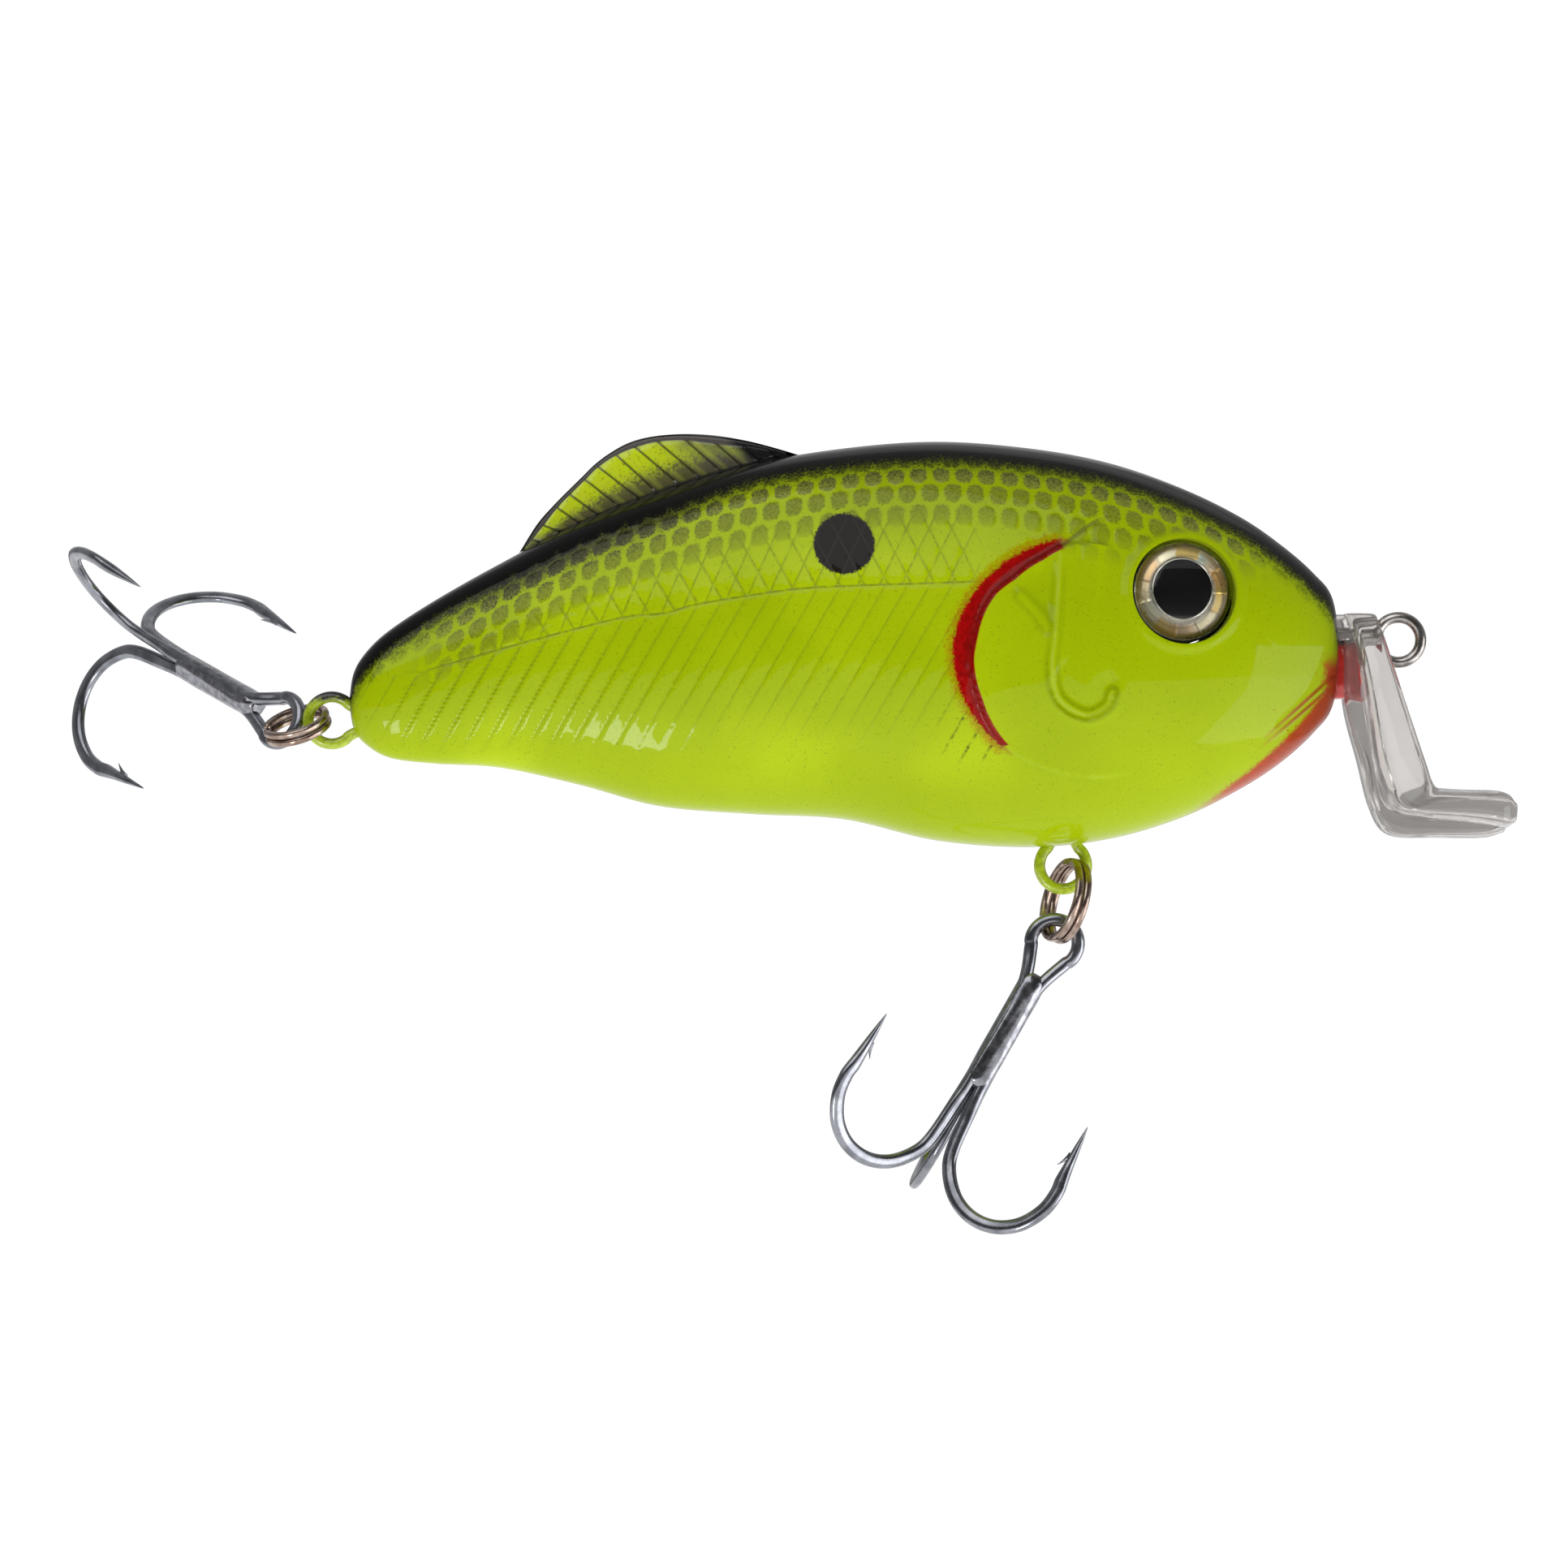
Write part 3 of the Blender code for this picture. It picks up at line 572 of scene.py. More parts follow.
def body_paint():
    m = Mat("body_paint", Roughness=0.3, Coat_Weight=0.5, Coat_Roughness=0.03, Coat_IOR=1.36, IOR=1.45, Specular_IOR_Level=0.04)
    x, y, z = m.xyz()
    d, zl, e = m.attr("paint_a")
    gi, go, sd = m.attr("paint_b")
    gd, md, er = m.attr("paint_c")
    n_fine = m.noise(0.17, 1.0)
    n_mid = m.noise(0.42, 2.0)
    n_big = m.noise(9.0, 2.0)
    # ground: chartreuse with a darker belt along the flank and a paler belly
    col = m.mix(n_big.step(0.35, 0.7), lin(170, 193, 2), lin(184, 207, 8))
    belt = zl.step(1.5, -1.5) * z.step(-9.0, -3.0)
    col = m.mix(belt * 0.35, col, lin(152, 176, 0))
    col = m.mix(z.step(-8.5, -13.0) * 0.7, col, lin(160, 182, 0))
    # painted shade: the head, from the gill forward, is painted darker
    col = m.mix(x.step(-33.0, -27.0) * 0.55, col, lin(162, 184, 0))
    # fine speckle
    speck = n_fine.step(0.62, 0.78)
    col = m.mix(speck * 0.42, col, lin(96, 112, 0))
    col = m.mix(n_fine.step(0.36, 0.22) * 0.25, col, lin(200, 222, 8))
    behind = x.step(-31.0, -33.5)
    # moulded lines are painted darker: painted shade in the grooves of the lattice, ribs and lateral line
    dark = d.step(4.8, 6.4) * zl.step(-0.05, 0.2) * behind
    la = ((x + d * 0.5) / PITCH).tri() * (PITCH * 0.87)
    lb = ((x - d * 0.5) / PITCH).tri() * (PITCH * 0.87)
    lattice = la.step(0.13, 0.03).max(lb.step(0.13, 0.03)) * dark
    ribs = ((x - z * 0.58) / 1.65).tri() * 1.43
    rib = ribs.step(0.11, 0.03) * zl.step(0.0, -0.4) * behind * z.step(-9.0, -3.5)
    near_gill = (x + 32.2).abs().step(3.4, 0.8) * (z + 7.2).abs().step(2.6, 0.8)
    side_line = (zl + 0.0).abs().step(0.13, 0.03) * behind * x.step(-76, -71)
    lines = (lattice * 0.42).max(rib * 0.26).max(side_line * 0.6) * (n_mid.step(0.30, 0.62) * 0.7 + 0.3)
    col = m.mix(lines, col, lin(92, 100, 36))
    # painted shade in the rib grooves near the gill
    col = m.mix(ribs.step(0.16, 0.05) * near_gill * go.step(-0.1, -0.6) * gi.step(0.0, 0.4) * n_mid.step(0.35, 0.6) * 0.8, col, lin(60, 58, 10))
    # scales: rows of olive cells with chartreuse between them
    rows = m.nt.nodes.new("ShaderNodeFloatCurve")
    cm = rows.mapping
    pts = [(0.0, 0.0), (0.16, 0.125), (0.275, 0.25), (0.4, 0.375), (0.58, 0.5), (0.76, 0.625), (0.94, 0.75)]
    cm.curves[0].points[0].location = pts[0]
    cm.curves[0].points[1].location = (1.0, 0.79)
    for p in pts[1:]:
        cm.curves[0].points.new(*p)
    for p in cm.curves[0].points:
        p.handle_type = "VECTOR"
    cm.update()
    m.nt.links.new((d * 0.1).s, rows.inputs["Value"])
    w = E(m.nt, rows.outputs[0]) * 8.0  # row number + 2
    row = (w + 0.5).op("FLOOR")
    odd = row.op("MODULO", 2.0)  # rows 0 and 2 are moved by half a cell
    u = (x + 39.0) / PITCH + (odd * -0.5 + 0.5)
    q = ((u.tri() / 0.415).op("POWER", 2.6) + ((w - row).abs() / 0.49).op("POWER", 2.6)).op("POWER", 1 / 2.6)
    edge = q + (n_fine - 0.5) * 0.55
    cell = edge.step(1.02, 0.80)
    head = x.step(-27.0, -24.0)
    last = w.step(4.65, 4.25) * head.inv() + w.step(5.6, 4.6) * head
    strength = last * w.step(1.2, 1.7) * x.step(-76, -70) * (x.step(-9.0, -14.0) * 0.9) * er.step(4.1, 4.9)
    strength = strength * (w.step(4.8, 3.2) * 0.62 + 0.38)
    strength = strength * (head * z.step(3.2, 6.5).inv()).inv()
    olive = m.mix(w.step(1.6, 3.4), lin(124, 118, 80), lin(124, 132, 34))
    olive = m.mix(n_fine.step(0.46, 0.60) * 0.45, olive, lin(150, 162, 44))
    olive = m.mix(n_fine.step(0.52, 0.40) * 0.40, olive, lin(84, 86, 20))
    col = m.mix(cell * strength * 0.88, col, olive)
    # back: black, breaking up into speckle
    far = x.step(-48, -58) * x.step(-72, -64)
    wide = far * 1.0 + 2.15
    t = d + (n_fine - 0.5) * 1.5 + (n_mid - 0.5) * 0.7
    scallop = q.step(0.7, 1.1) * 0.35
    haze = (t - wide + scallop).step(1.1, -0.5)
    col = m.mix(haze * 0.88, col, m.mix(far, lin(56, 60, 4), lin(52, 48, 34)))
    black = (t - wide * 0.66 + scallop * far).step(0.65, -0.25)
    col = m.mix(black, col, lin(11, 9, 8))
    # spot
    rim = sd + (n_fine - 0.5) * 0.35 + (n_mid - 0.5) * 0.12
    spot = rim.step(2.40, 2.18)
    col = m.mix(spot, col, m.mix(lattice, lin(32, 28, 26), lin(44, 39, 36)))
    # groove up from the gill, painted darker: painted shade along the groove
    col = m.mix(gd.step(0.24, 0.05) * 0.6, col, lin(92, 86, 52))
    # painted shade in the hollows beside the cheek ridges, and a painted highlight along the J ridge
    jd, ja, sd2 = m.attr("paint_e")
    hollow_shade = jd.step(0.75, 0.42) * jd.step(0.16, 0.34) * ja.step(0.0, 0.15)
    col = m.mix(hollow_shade * (ja.step(0.4, 0.7) * 0.22 + 0.16), col, lin(96, 112, 0))
    # painted highlight along the J ridge
    col = m.mix(jd.step(0.20, 0.04) * 0.2, col, lin(206, 222, 96))
    # painted shade beside the short ridge
    col = m.mix(sd2.step(0.9, 0.45) * sd2.step(0.15, 0.4) * 0.2, col, lin(96, 112, 0))
    # red: gill, lower jaw, mouth
    red_n = (n_fine - 0.5) * 0.55 + (n_mid - 0.5) * 0.25
    gill = (go + red_n).step(-0.36, 0.04) * gi.step(-0.30, -0.20)
    mist = (go + red_n * 2.2).step(-0.95, -0.1) * gi.step(0.0, 0.1)
    wjaw = (x + 17.6) * 0.215  # grows from 0 to 2 mm forward
    jaw = (wjaw - e + red_n * 1.1).step(-0.12, 0.45) * x.step(-16.9, -12.5)
    crease = md.step(0.20, 0.04) * x.step(-11.5, -7.5)
    dots = m.cells(0.62).step(0.17, 0.09) * md.step(2.6, 0.4) * x.step(-13.5, -8.0) * m.noise(1.6).step(0.45, 0.62)
    nose = (x + 5.9 + (n_mid - 0.5)).step(-0.3, 0.4) * z.step(-0.8, -2.4)
    jaw = jaw.max(nose)
    red = gill.max(mist * 0.45).max(jaw * 0.92).max(crease * 0.8).max(dots * 0.85)
    red_col = m.mix(n_mid.step(0.3, 0.7), lin(150, 4, 4), lin(180, 8, 8))
    red_col = m.mix(jaw * 0.35, red_col, lin(186, 48, 40))
    red_col = m.mix((gi.step(0.75, 0.0) * gill) * 0.5, red_col, lin(112, 22, 14))
    col = m.mix(red, col, red_col)
    # socket wall, painted darker olive: painted shade inside the socket
    wall = er.step(4.02, 3.9)
    col = m.mix(wall * 0.55, col, lin(110, 118, 30))
    m.set("Base Color", col)
    m.set("Roughness", n_mid * 0.12 + 0.24)
    m.bump(m.noise(0.5, 2.0) * 0.35 + (lattice.max(rib) * -0.8), 0.03, 0.5)
    return m


PAINT = body_paint()


# ---------------------------------------------------------------- body halves
def body_half(side, name):
    # columns, closer together where the outline turns
    ds = np.sqrt(np.diff(dx) ** 2 + (0.5 * np.diff(dt)) ** 2 + (0.5 * np.diff(db)) ** 2 + np.diff(dh) ** 2)
    s = np.concatenate([[0], np.cumsum(ds)])
    nx, nr = 420, 200
    xs_i = np.interp(np.linspace(0, s[-1], nx + 2)[1:-1], s, np.arange(len(dx)))
    col = [np.interp(xs_i, np.arange(len(dx)), v) for v in (dx, dt, db, dh)]
    x, top, low, half = col
    t = np.linspace(0, 1, nr + 1)
    a = math.pi * (t + 0.3 / (2 * math.pi) * np.sin(2 * math.pi * t))
    mid, high = (top + low) / 2, (top - low) / 2
    X = np.repeat(x[:, None], nr + 1, 1)
    Z = mid[:, None] + high[:, None] * np.cos(a)[None]
    Y = half[:, None] * np.abs(np.sin(a))[None] ** FULLNESS
    P = np.stack([X, Y, Z], axis=-1)
    gu, gv = np.gradient(P, axis=0), np.gradient(P, axis=1)
    N = unit(np.cross(gv, gu))
    N = np.where((N[..., 1:2] < -1e-6), -N, N)
    h = relief(X.ravel(), Z.ravel()).reshape(X.shape)
    h = h * smooth(0.0, 1.2, Y)
    h = h - 0.07 * np.exp(-((Y / 0.09) ** 2))
    P = P + N * h[..., None]
    P[..., 1] = np.maximum(P[..., 1], 0.025)
    P[:, 0, 1] = P[:, -1, 1] = 0.025
    verts = [P.reshape(-1, 3)]
    faces = grid_faces(nx, nr + 1)
    base = nx * (nr + 1)
    tail_pole, nose_pole = base, base + 1
    verts.append(np.array([[dx[0], 0.025, dt[0]], [dx[-1], 0.025, dt[-1]]]))
    for j in range(nr):
        faces.append([j + 1, j, tail_pole])
        last = (nx - 1) * (nr + 1)
        faces.append([last + j, last + j + 1, nose_pole])
    faces.append([0, nr, tail_pole])
    faces.append([(nx - 1) * (nr + 1), nose_pole, (nx - 1) * (nr + 1) + nr])
    # cavity
    ok = np.where((top - low - 2 * WALL > 1.0) & (half - WALL > 0.3))[0]
    i0, i1 = ok[0] + 4, ok[-1] - 4
    ni, mr = i1 - i0 + 1, 10
    ai = np.linspace(0, math.pi, mr + 1)
    xi = x[i0 : i1 + 1]
    it, il, ih = top[i0 : i1 + 1] - WALL, low[i0 : i1 + 1] + WALL, half[i0 : i1 + 1] - WALL
    Q = np.stack(
        [
            np.repeat(xi[:, None], mr + 1, 1),
            np.maximum(ih[:, None] * np.abs(np.sin(ai))[None] ** FULLNESS, 0.025),
            ((it + il) / 2)[:, None] + ((it - il) / 2)[:, None] * np.cos(ai)[None],
        ],
        axis=-1,
    )
    qb = base + 2
    verts.append(Q.reshape(-1, 3))
    faces += [f[::-1] for f in grid_faces(ni, mr + 1, base=qb)]
    pb = qb + ni * (mr + 1)
    p0 = [x[i0 - 1], 0.025, (it[0] + il[0]) / 2]
    p1 = [x[i1 + 1], 0.025, (it[-1] + il[-1]) / 2]
    verts.append(np.array([p0, p1]))
    for j in range(mr):
        faces.append([qb + j, qb + j + 1, pb])
        last = qb + (ni - 1) * (mr + 1)
        faces.append([last + j + 1, last + j, pb + 1])

    def out(i, j):
        return i * (nr + 1) + j

    def inn(i, j):
        return qb + (i - i0) * (mr + 1) + j

    for i in range(i0, i1):
        faces.append([out(i, 0), out(i + 1, 0), inn(i + 1, 0), inn(i, 0)])
        faces.append([inn(i, mr), inn(i + 1, mr), out(i + 1, nr), out(i, nr)])
    k = 3
    for i in list(range(0, i0 - k)) + list(range(i1 + k, nx - 1)):
        faces.append([out(i, 0), out(i + 1, 0), out(i + 1, nr), out(i, nr)])
    faces.append([out(i, 0) for i in range(i0 - k, i0 + 1)] + [inn(i0, 0), pb, inn(i0, mr)] + [out(i, nr) for i in range(i0, i0 - k - 1, -1)])
    faces.append([out(i, 0) for i in range(i1, i1 + k + 1)] + [out(i, nr) for i in range(i1 + k, i1 - 1, -1)] + [inn(i1, mr), pb + 1, inn(i1, 0)])
    V = np.concatenate(verts)
    V[:, 1] *= side
    me = make_mesh(name, V, faces)
    # eye socket
    axis = unit((0.16, side, 0.07))
    centre = np.array([EYE_X, side * EYE_Y, EYE_Z])
    cv, cf = lathe([(0, 0), (EYE_R - 0.12, 0), (EYE_R - 0.03, 0.04), (EYE_R, 0.14), (EYE_R, 1.2), (EYE_R + 0.10, 2.2), (EYE_R + 0.5, 5.0), (0, 5.0)], centre, axis, 160)
    me = boolean(me, [make_mesh("cut", cv, cf)], "DIFFERENCE")
    co = np.zeros(len(me.vertices) * 3)
    me.vertices.foreach_get("co", co)
    for key, value in body_fields(co.reshape(-1, 3) / MM).items():
        if key in me.attributes:
            me.attributes.remove(me.attributes[key])
        add_attr(me, key, value)
    return piece(name, me, PAINT, "root", (f"body_shell_{'left' if side > 0 else 'right'}",), sharp=50)


body_half(1, "body_left")
body_half(-1, "body_right")


# ---------------------------------------------------------------- eyes
def foil_material():
    m = Mat("eye_foil", Metallic=0.45, Roughness=0.30, Coat_Weight=0.0)
    r, a, s = m.attr("eye")
    wave = (r * 9.0 + a * 2.0).op("SINE") * 0.5 + 0.5
    tint = m.mix(s.step(0.25, 0.55), lin(216, 186, 98), lin(226, 220, 186))
    tint = m.mix(s.step(0.62, 0.9) * 0.8, tint, lin(160, 184, 172))
    tint = m.mix(((a * 3.0).op("SINE") * 0.5 + 0.5).step(0.5, 0.95) * 0.55, tint, lin(216, 160, 104))
    tint = m.mix(r.step(2.85, 3.25) * 0.8, tint, lin(158, 134, 58))
    tint = m.mix(r.step(2.62, 2.25) * 0.8, tint, lin(232, 230, 220))
    tint = m.mix(wave.step(0.72, 0.95) * 0.35, tint, lin(96, 88, 58))
    m.set("Base Color", tint)
    m.set("Roughness", m.noise(0.4) * 0.2 + 0.2)
    m.bump(wave, 0.03, 0.6)
    return m


FOIL = foil_material()
PUPIL = Mat("pupil_black", Roughness=0.25, Specular_IOR_Level=0.2)
PUPIL.set("Base Color", PUPIL.mix(PUPIL.noise(0.8).step(0.3, 0.7), lin(4, 4, 5), lin(12, 12, 13)))
RINGM = Mat("pupil_ring", Metallic=0.9, Roughness=0.22)
RINGM.set("Base Color", RINGM.mix(RINGM.noise(0.6).step(0.3, 0.7), lin(176, 176, 160), lin(226, 226, 214)))
# painted shadow in the gap between the eye and the socket wall: dark at the lower left, olive towards the upper right
GAP_SHADOW = Mat("eye_gap_shadow", Roughness=0.25)
_x, _y, _z = GAP_SHADOW.xyz()
_lit_side = ((_x + 16.85) + (_z - 3.42)).step(-1.2, 2.6)
GAP_SHADOW.set("Base Color", GAP_SHADOW.mix(_lit_side, lin(46, 52, 8), GAP_SHADOW.mix(GAP_SHADOW.noise(0.8).step(0.35, 0.7), lin(112, 124, 8), lin(142, 158, 16))))
RESIN = Mat("eye_resin", Roughness=0.02, Transmission_Weight=1.0, IOR=1.34)
RESIN.set("Base Color", RESIN.mix(RESIN.noise(2.0).step(0.3, 0.7), (0.97, 0.97, 0.95, 1), (1, 1, 1, 1)))

for side, tag in ((1, "left"), (-1, "right")):
    axis = unit((0.16, side, 0.07))
    floor = np.array([EYE_X, side * EYE_Y, EYE_Z])
    hint = (1, 0, 0)
    # dark ring on the socket floor: a painted shadow in the gap round the foil, darkest at the lower left
    v, f = lathe([(0, 0.02), (EYE_R - 0.15, 0.02), (EYE_R - 0.13, 0.10), (0, 0.12)], floor, axis, 96)
    piece(f"{tag}_eye_gap_shadow", make_mesh("m", v, f), GAP_SHADOW, "root")

    # foil: facets round a shallow bowl
    def facet(r, h, a):
        k = 11
        sec = (a / (2 * math.pi) * k) % 1.0
        idx = int(a / (2 * math.pi) * k)
        lift = (0.22 * math.sin(idx * 2.4)) * (sec - 0.5) * (r / 3.35)
        return r, h + lift

    prof = [(0, 0.2), (3.30, 0.2), (3.35, 0.24), (3.35, 0.36), (3.30, 0.42)]
    prof += [(r, 0.42 + 0.0 * r + 0.05 * math.sin((3.3 - r) * 5.0)) for r in np.linspace(3.2, 0.2, 26)]
    prof += [(0, 0.43)]
    v, f = lathe(prof, floor, axis, 132, hint, facet)
    me = make_mesh("m", v, f)
    w = axis
    u = unit(np.array(hint) - w * np.dot(hint, w))
    vv = np.cross(w, u)
    co = np.zeros(len(me.vertices) * 3)
    me.vertices.foreach_get("co", co)
    rel = co.reshape(-1, 3) / MM - floor
    px, pz = rel @ u, rel @ vv
    ang = np.arctan2(pz, px)
    sec = np.floor(((ang / (2 * math.pi)) % 1.0) * 11)
    add_attr(me, "eye", np.stack([np.hypot(px, pz), ang, np.abs(np.sin(sec * 12.9898) * 43758.5453) % 1.0], axis=1))
    piece(f"{tag}_eye_iris", me, FOIL, "root", (f"{tag}_eye_foil",), sharp=25)
    # pupil and its bright ring, a little high in the foil
    pc = floor + np.array([0.0, 0.0, 0.2])
    v, f = lathe([(0, 0.36), (2.16, 0.36), (2.16, 0.55), (2.12, 0.58), (0, 0.58)], pc, axis, 96)
    piece(f"{tag}_pupil", make_mesh("m", v, f), PUPIL, "root")
    v, f = lathe([(2.18, 0.40), (2.26, 0.40), (2.26, 0.54), (2.22, 0.57), (2.18, 0.55), (2.18, 0.40)], pc, axis, 96)
    piece(f"{tag}_pupil_ring", make_mesh("m", v, f), RINGM, "root")
    # clear dome
    n = 22
    prof = [(0.0, 0.60 + 1.15)]
    prof += [(3.65 * math.sin(i / n * math.pi / 2), 0.72 + 1.03 * math.cos(i / n * math.pi / 2)) for i in range(1, n + 1)]
    prof += [(3.65, 0.62), (3.60, 0.60), (0.0, 0.60)]
    v, f = lathe(prof, floor, axis, 96)
    piece(f"{tag}_eye_lens", make_mesh("m", v, f), RESIN, "root", (f"{tag}_eye_dome",), sharp=50)


# ---------------------------------------------------------------- back fin
def px_to_mm(x, y):
    return -46.54 + (x - 966) * 0.0615, -10.92 + (966 - y) * 0.0615


FIN_TOP = [
    (-66.6, 6.6), (-65.3, 8.7), (-64.0, 10.2), (-62.0, 12.2), (-60.4, 13.7), (-58.4, 14.9),
    (-56.6, 15.4), (-54.4, 15.6), (-51.8, 15.5), (-49.4, 15.1), (-47.4, 14.6), (-45.2, 13.95),
]
FIN_RAYS = [  # upper end, lower end, as places in the side view
    ((655, 664), (668, 668)), ((670, 648), (690, 655)), ((687, 626), (713, 644)), ((702, 608), (736, 634)),
    ((719, 591), (762, 623)), ((738, 575), (787, 614)), ((759, 562), (809, 606)), ((783, 552), (836, 596)),
    ((810, 545), (862, 588)), ((845, 543), (888, 580)), ((883, 548), (913, 573)), ((918, 551), (935, 567)), ((948, 556), (955, 563)),
]


def fin_material():
    m = Mat("fin_paint", Roughness=0.3, Coat_Weight=0.4, Coat_Roughness=0.04)
    s, t, k = m.attr("fin")
    n = m.noise(0.20, 1.5)
    n2 = m.noise(0.6, 2.0)
    panel = m.mix((t + (n - 0.5) * 0.7).step(0.22, 0.62), lin(104, 102, 56), lin(206, 226, 8))
    end = (s + (n2 - 0.5) * 1.2).step(8.4, 10.6).max(s.step(1.9, 0.6))
    panel = m.mix(end * 0.75, panel, lin(98, 92, 84))
    panel = m.mix(n.step(0.60, 0.72) * 0.5, panel, lin(58, 58, 10))
    line = s.tri()
    panel = m.mix(line.step(0.10, 0.02) * 0.85, panel, lin(48, 46, 20))
    # painted highlight on one side of each fin ray
    ray_highlight = (s.op("FRACT")).step(0.05, 0.3) * (s.op("FRACT")).step(0.5, 0.3)
    panel = m.mix(ray_highlight * 0.25, panel, lin(206, 216, 60))
    col = m.mix(t.step(0.97, 1.04), panel, lin(84, 80, 76))
    col = m.mix(t.step(1.62, 1.80), col, lin(9, 8, 8))
    col = m.mix(t.step(0.05, -0.02), col, lin(12, 10, 9))
    col = m.mix(s.step(11.4, 11.9), col, lin(10, 9, 8))
    m.set("Base Color", col)
    m.set("Roughness", n2 * 0.1 + 0.22)
    m.bump(n2, 0.02, 0.4)
    return m


def build_fin():
    line = catmull(FIN_TOP, 14)
    outer, base, outline = [], [], []
    for a, b in FIN_RAYS:
        a, b = np.array(px_to_mm(*a)), np.array(px_to_mm(*b))
        d = unit(a - b)
        # where the ray meets the outline
        best, at = 1e9, None
        for p in line:
            r = p - a
            along = r @ d
            off = abs(r[0] * d[1] - r[1] * d[0])
            if along > -0.2 and off < best:
                best, at = off, p
        gap = max(np.linalg.norm(at - a), 0.35)
        outer.append(at - d * min(gap, 1.5))
        base.append(b)
        outline.append(at)
    outline[0] = line[0] * 0.7 + line[10] * 0.3
    outer = [np.array([-66.3, 6.75])] + outer + [np.array([-45.9, 13.9])]
    base = [np.array([-66.2, 6.3])] + base + [np.array([-45.6, 13.4])]
    outline = [line[0]] + outline + [line[-1]]
    per = 16
    O, B, L = (catmull(v, per) for v in (outer, base, outline))
    ns = len(O)
    sidx = np.arange(ns) / per
    # keep the rim on the true outline
    for i in range(ns):
        j = np.argmin(np.hypot(line[:, 0] - L[i][0], line[:, 1] - L[i][1]))
        L[i] = 0.5 * L[i] + 0.5 * line[j]
    ts = np.concatenate([[-2.2, -0.6, -0.12], np.linspace(0, 1, 15), [1.04, 1.2, 1.5, 1.66, 1.74, 1.84, 1.92, 1.97, 2.0]])
    frac = sidx - np.floor(sidx)
    grid, tag, thick = [], [], []
    for i in range(ns):
        row, tg, th = [], [], []
        for t in ts:
            if t < 0:
                p = B[i] + np.array([0.25, -1.0]) * (-t) * 0.8
            elif t <= 1:
                p = B[i] + (O[i] - B[i]) * t
            else:
                p = O[i] + (L[i] - O[i]) * (t - 1)
            row.append(p)
            tg.append((sidx[i], t, 0.0))
            if t < 0:
                h = 0.48
            elif t <= 1:
                ray = math.exp(-((min(frac[i], 1 - frac[i]) / 0.10) ** 2))
                h = 0.26 + 0.13 * (1 - frac[i]) * smooth(0.0, 0.12, t) * smooth(1.0, 0.9, t) + 0.03 * ray + 0.05 * smooth(0.12, 0.0, t)
            elif t < 1.62:
                h = 0.25
            else:
                h = 0.25 + 0.10 * math.sin(min((t - 1.62) / 0.3, 1.0) * math.pi / 2)
                if t > 1.9:
                    h *= {1.92: 0.9, 1.97: 0.6}.get(round(t, 2), 0.0)
            th.append(h)
        grid.append(row)
        tag.append(tg)
        thick.append(th)
    G, T, H = np.array(grid), np.array(tag), np.array(thick)
    ends = np.minimum(np.arange(ns), ns - 1 - np.arange(ns)) / 5.0
    H = H * np.clip(ends, 0.35, 1.0)[:, None]
    nt = len(ts)
    right = np.stack([G[..., 0], -H, G[..., 1]], -1)
    left = np.stack([G[..., 0], H, G[..., 1]], -1)
    V = np.concatenate([right.reshape(-1, 3), left[:, :-1].reshape(-1, 3)])
    tags = np.concatenate([T.reshape(-1, 3), T[:, :-1].reshape(-1, 3)])

    def R(i, j):
        return i * nt + j

    def Lf(i, j):
        return R(i, j) if j == nt - 1 else ns * nt + i * (nt - 1) + j

    F = []
    for i in range(ns - 1):
        for j in range(nt - 1):
            F.append([R(i, j), R(i + 1, j), R(i + 1, j + 1), R(i, j + 1)])
            F.append([Lf(i, j), Lf(i, j + 1), Lf(i + 1, j + 1), Lf(i + 1, j)])
        F.append([R(i, 0), Lf(i, 0), Lf(i + 1, 0), R(i + 1, 0)])
    for i in (0, ns - 1):
        for j in range(nt - 1):
            q = [R(i, j), R(i, j + 1), Lf(i, j + 1), Lf(i, j)]
            F.append([v for k, v in enumerate(q) if v not in q[:k]])
    me = make_mesh("fin", V, F)
    add_attr(me, "fin", tags[: len(me.vertices)])
    piece("back_fin", me, fin_material(), "root", ("dorsal_fin",), sharp=35)


build_fin()

# ---------------------------------------------------------------- clear lip
LIP = [
    ((-1.75, 1.75), (-4.3, 1.75), 2.6), ((-1.25, 0.3), (-3.6, 0.1), 3.9), ((-0.6, -1.8), (-3.2, -1.9), 4.6),
    ((0.25, -4.5), (-2.8, -4.6), 5.2), ((1.05, -7.0), (-2.4, -7.5), 5.8), ((1.8, -9.3), (-1.9, -10.4), 6.4),
    ((2.4, -11.0), (-0.9, -12.9), 7.0), ((3.3, -11.25), (1.0, -13.5), 7.4), ((5.1, -11.35), (4.4, -13.8), 7.6),
    ((7.0, -11.4), (6.8, -14.1), 7.4), ((7.9, -11.65), (7.7, -14.25), 7.0), ((8.35, -12.2), (8.2, -13.9), 6.3),
]
RIB = [
    ((-2.6, 0.6), (-4.3, 0.6), 1.8), ((-2.6, -4.6), (-4.2, -4.8), 2.2), ((-1.9, -8.6), (-3.1, -9.2), 2.5), ((-1.2, -12.0), (-2.1, -12.9), 2.7),
    ((0.4, -13.0), (-0.7, -14.8), 2.8), ((3.0, -13.3), (2.9, -15.0), 2.8), ((5.8, -13.2), (6.3, -15.0), 2.7), ((7.4, -12.7), (7.8, -14.6), 2.4),
]


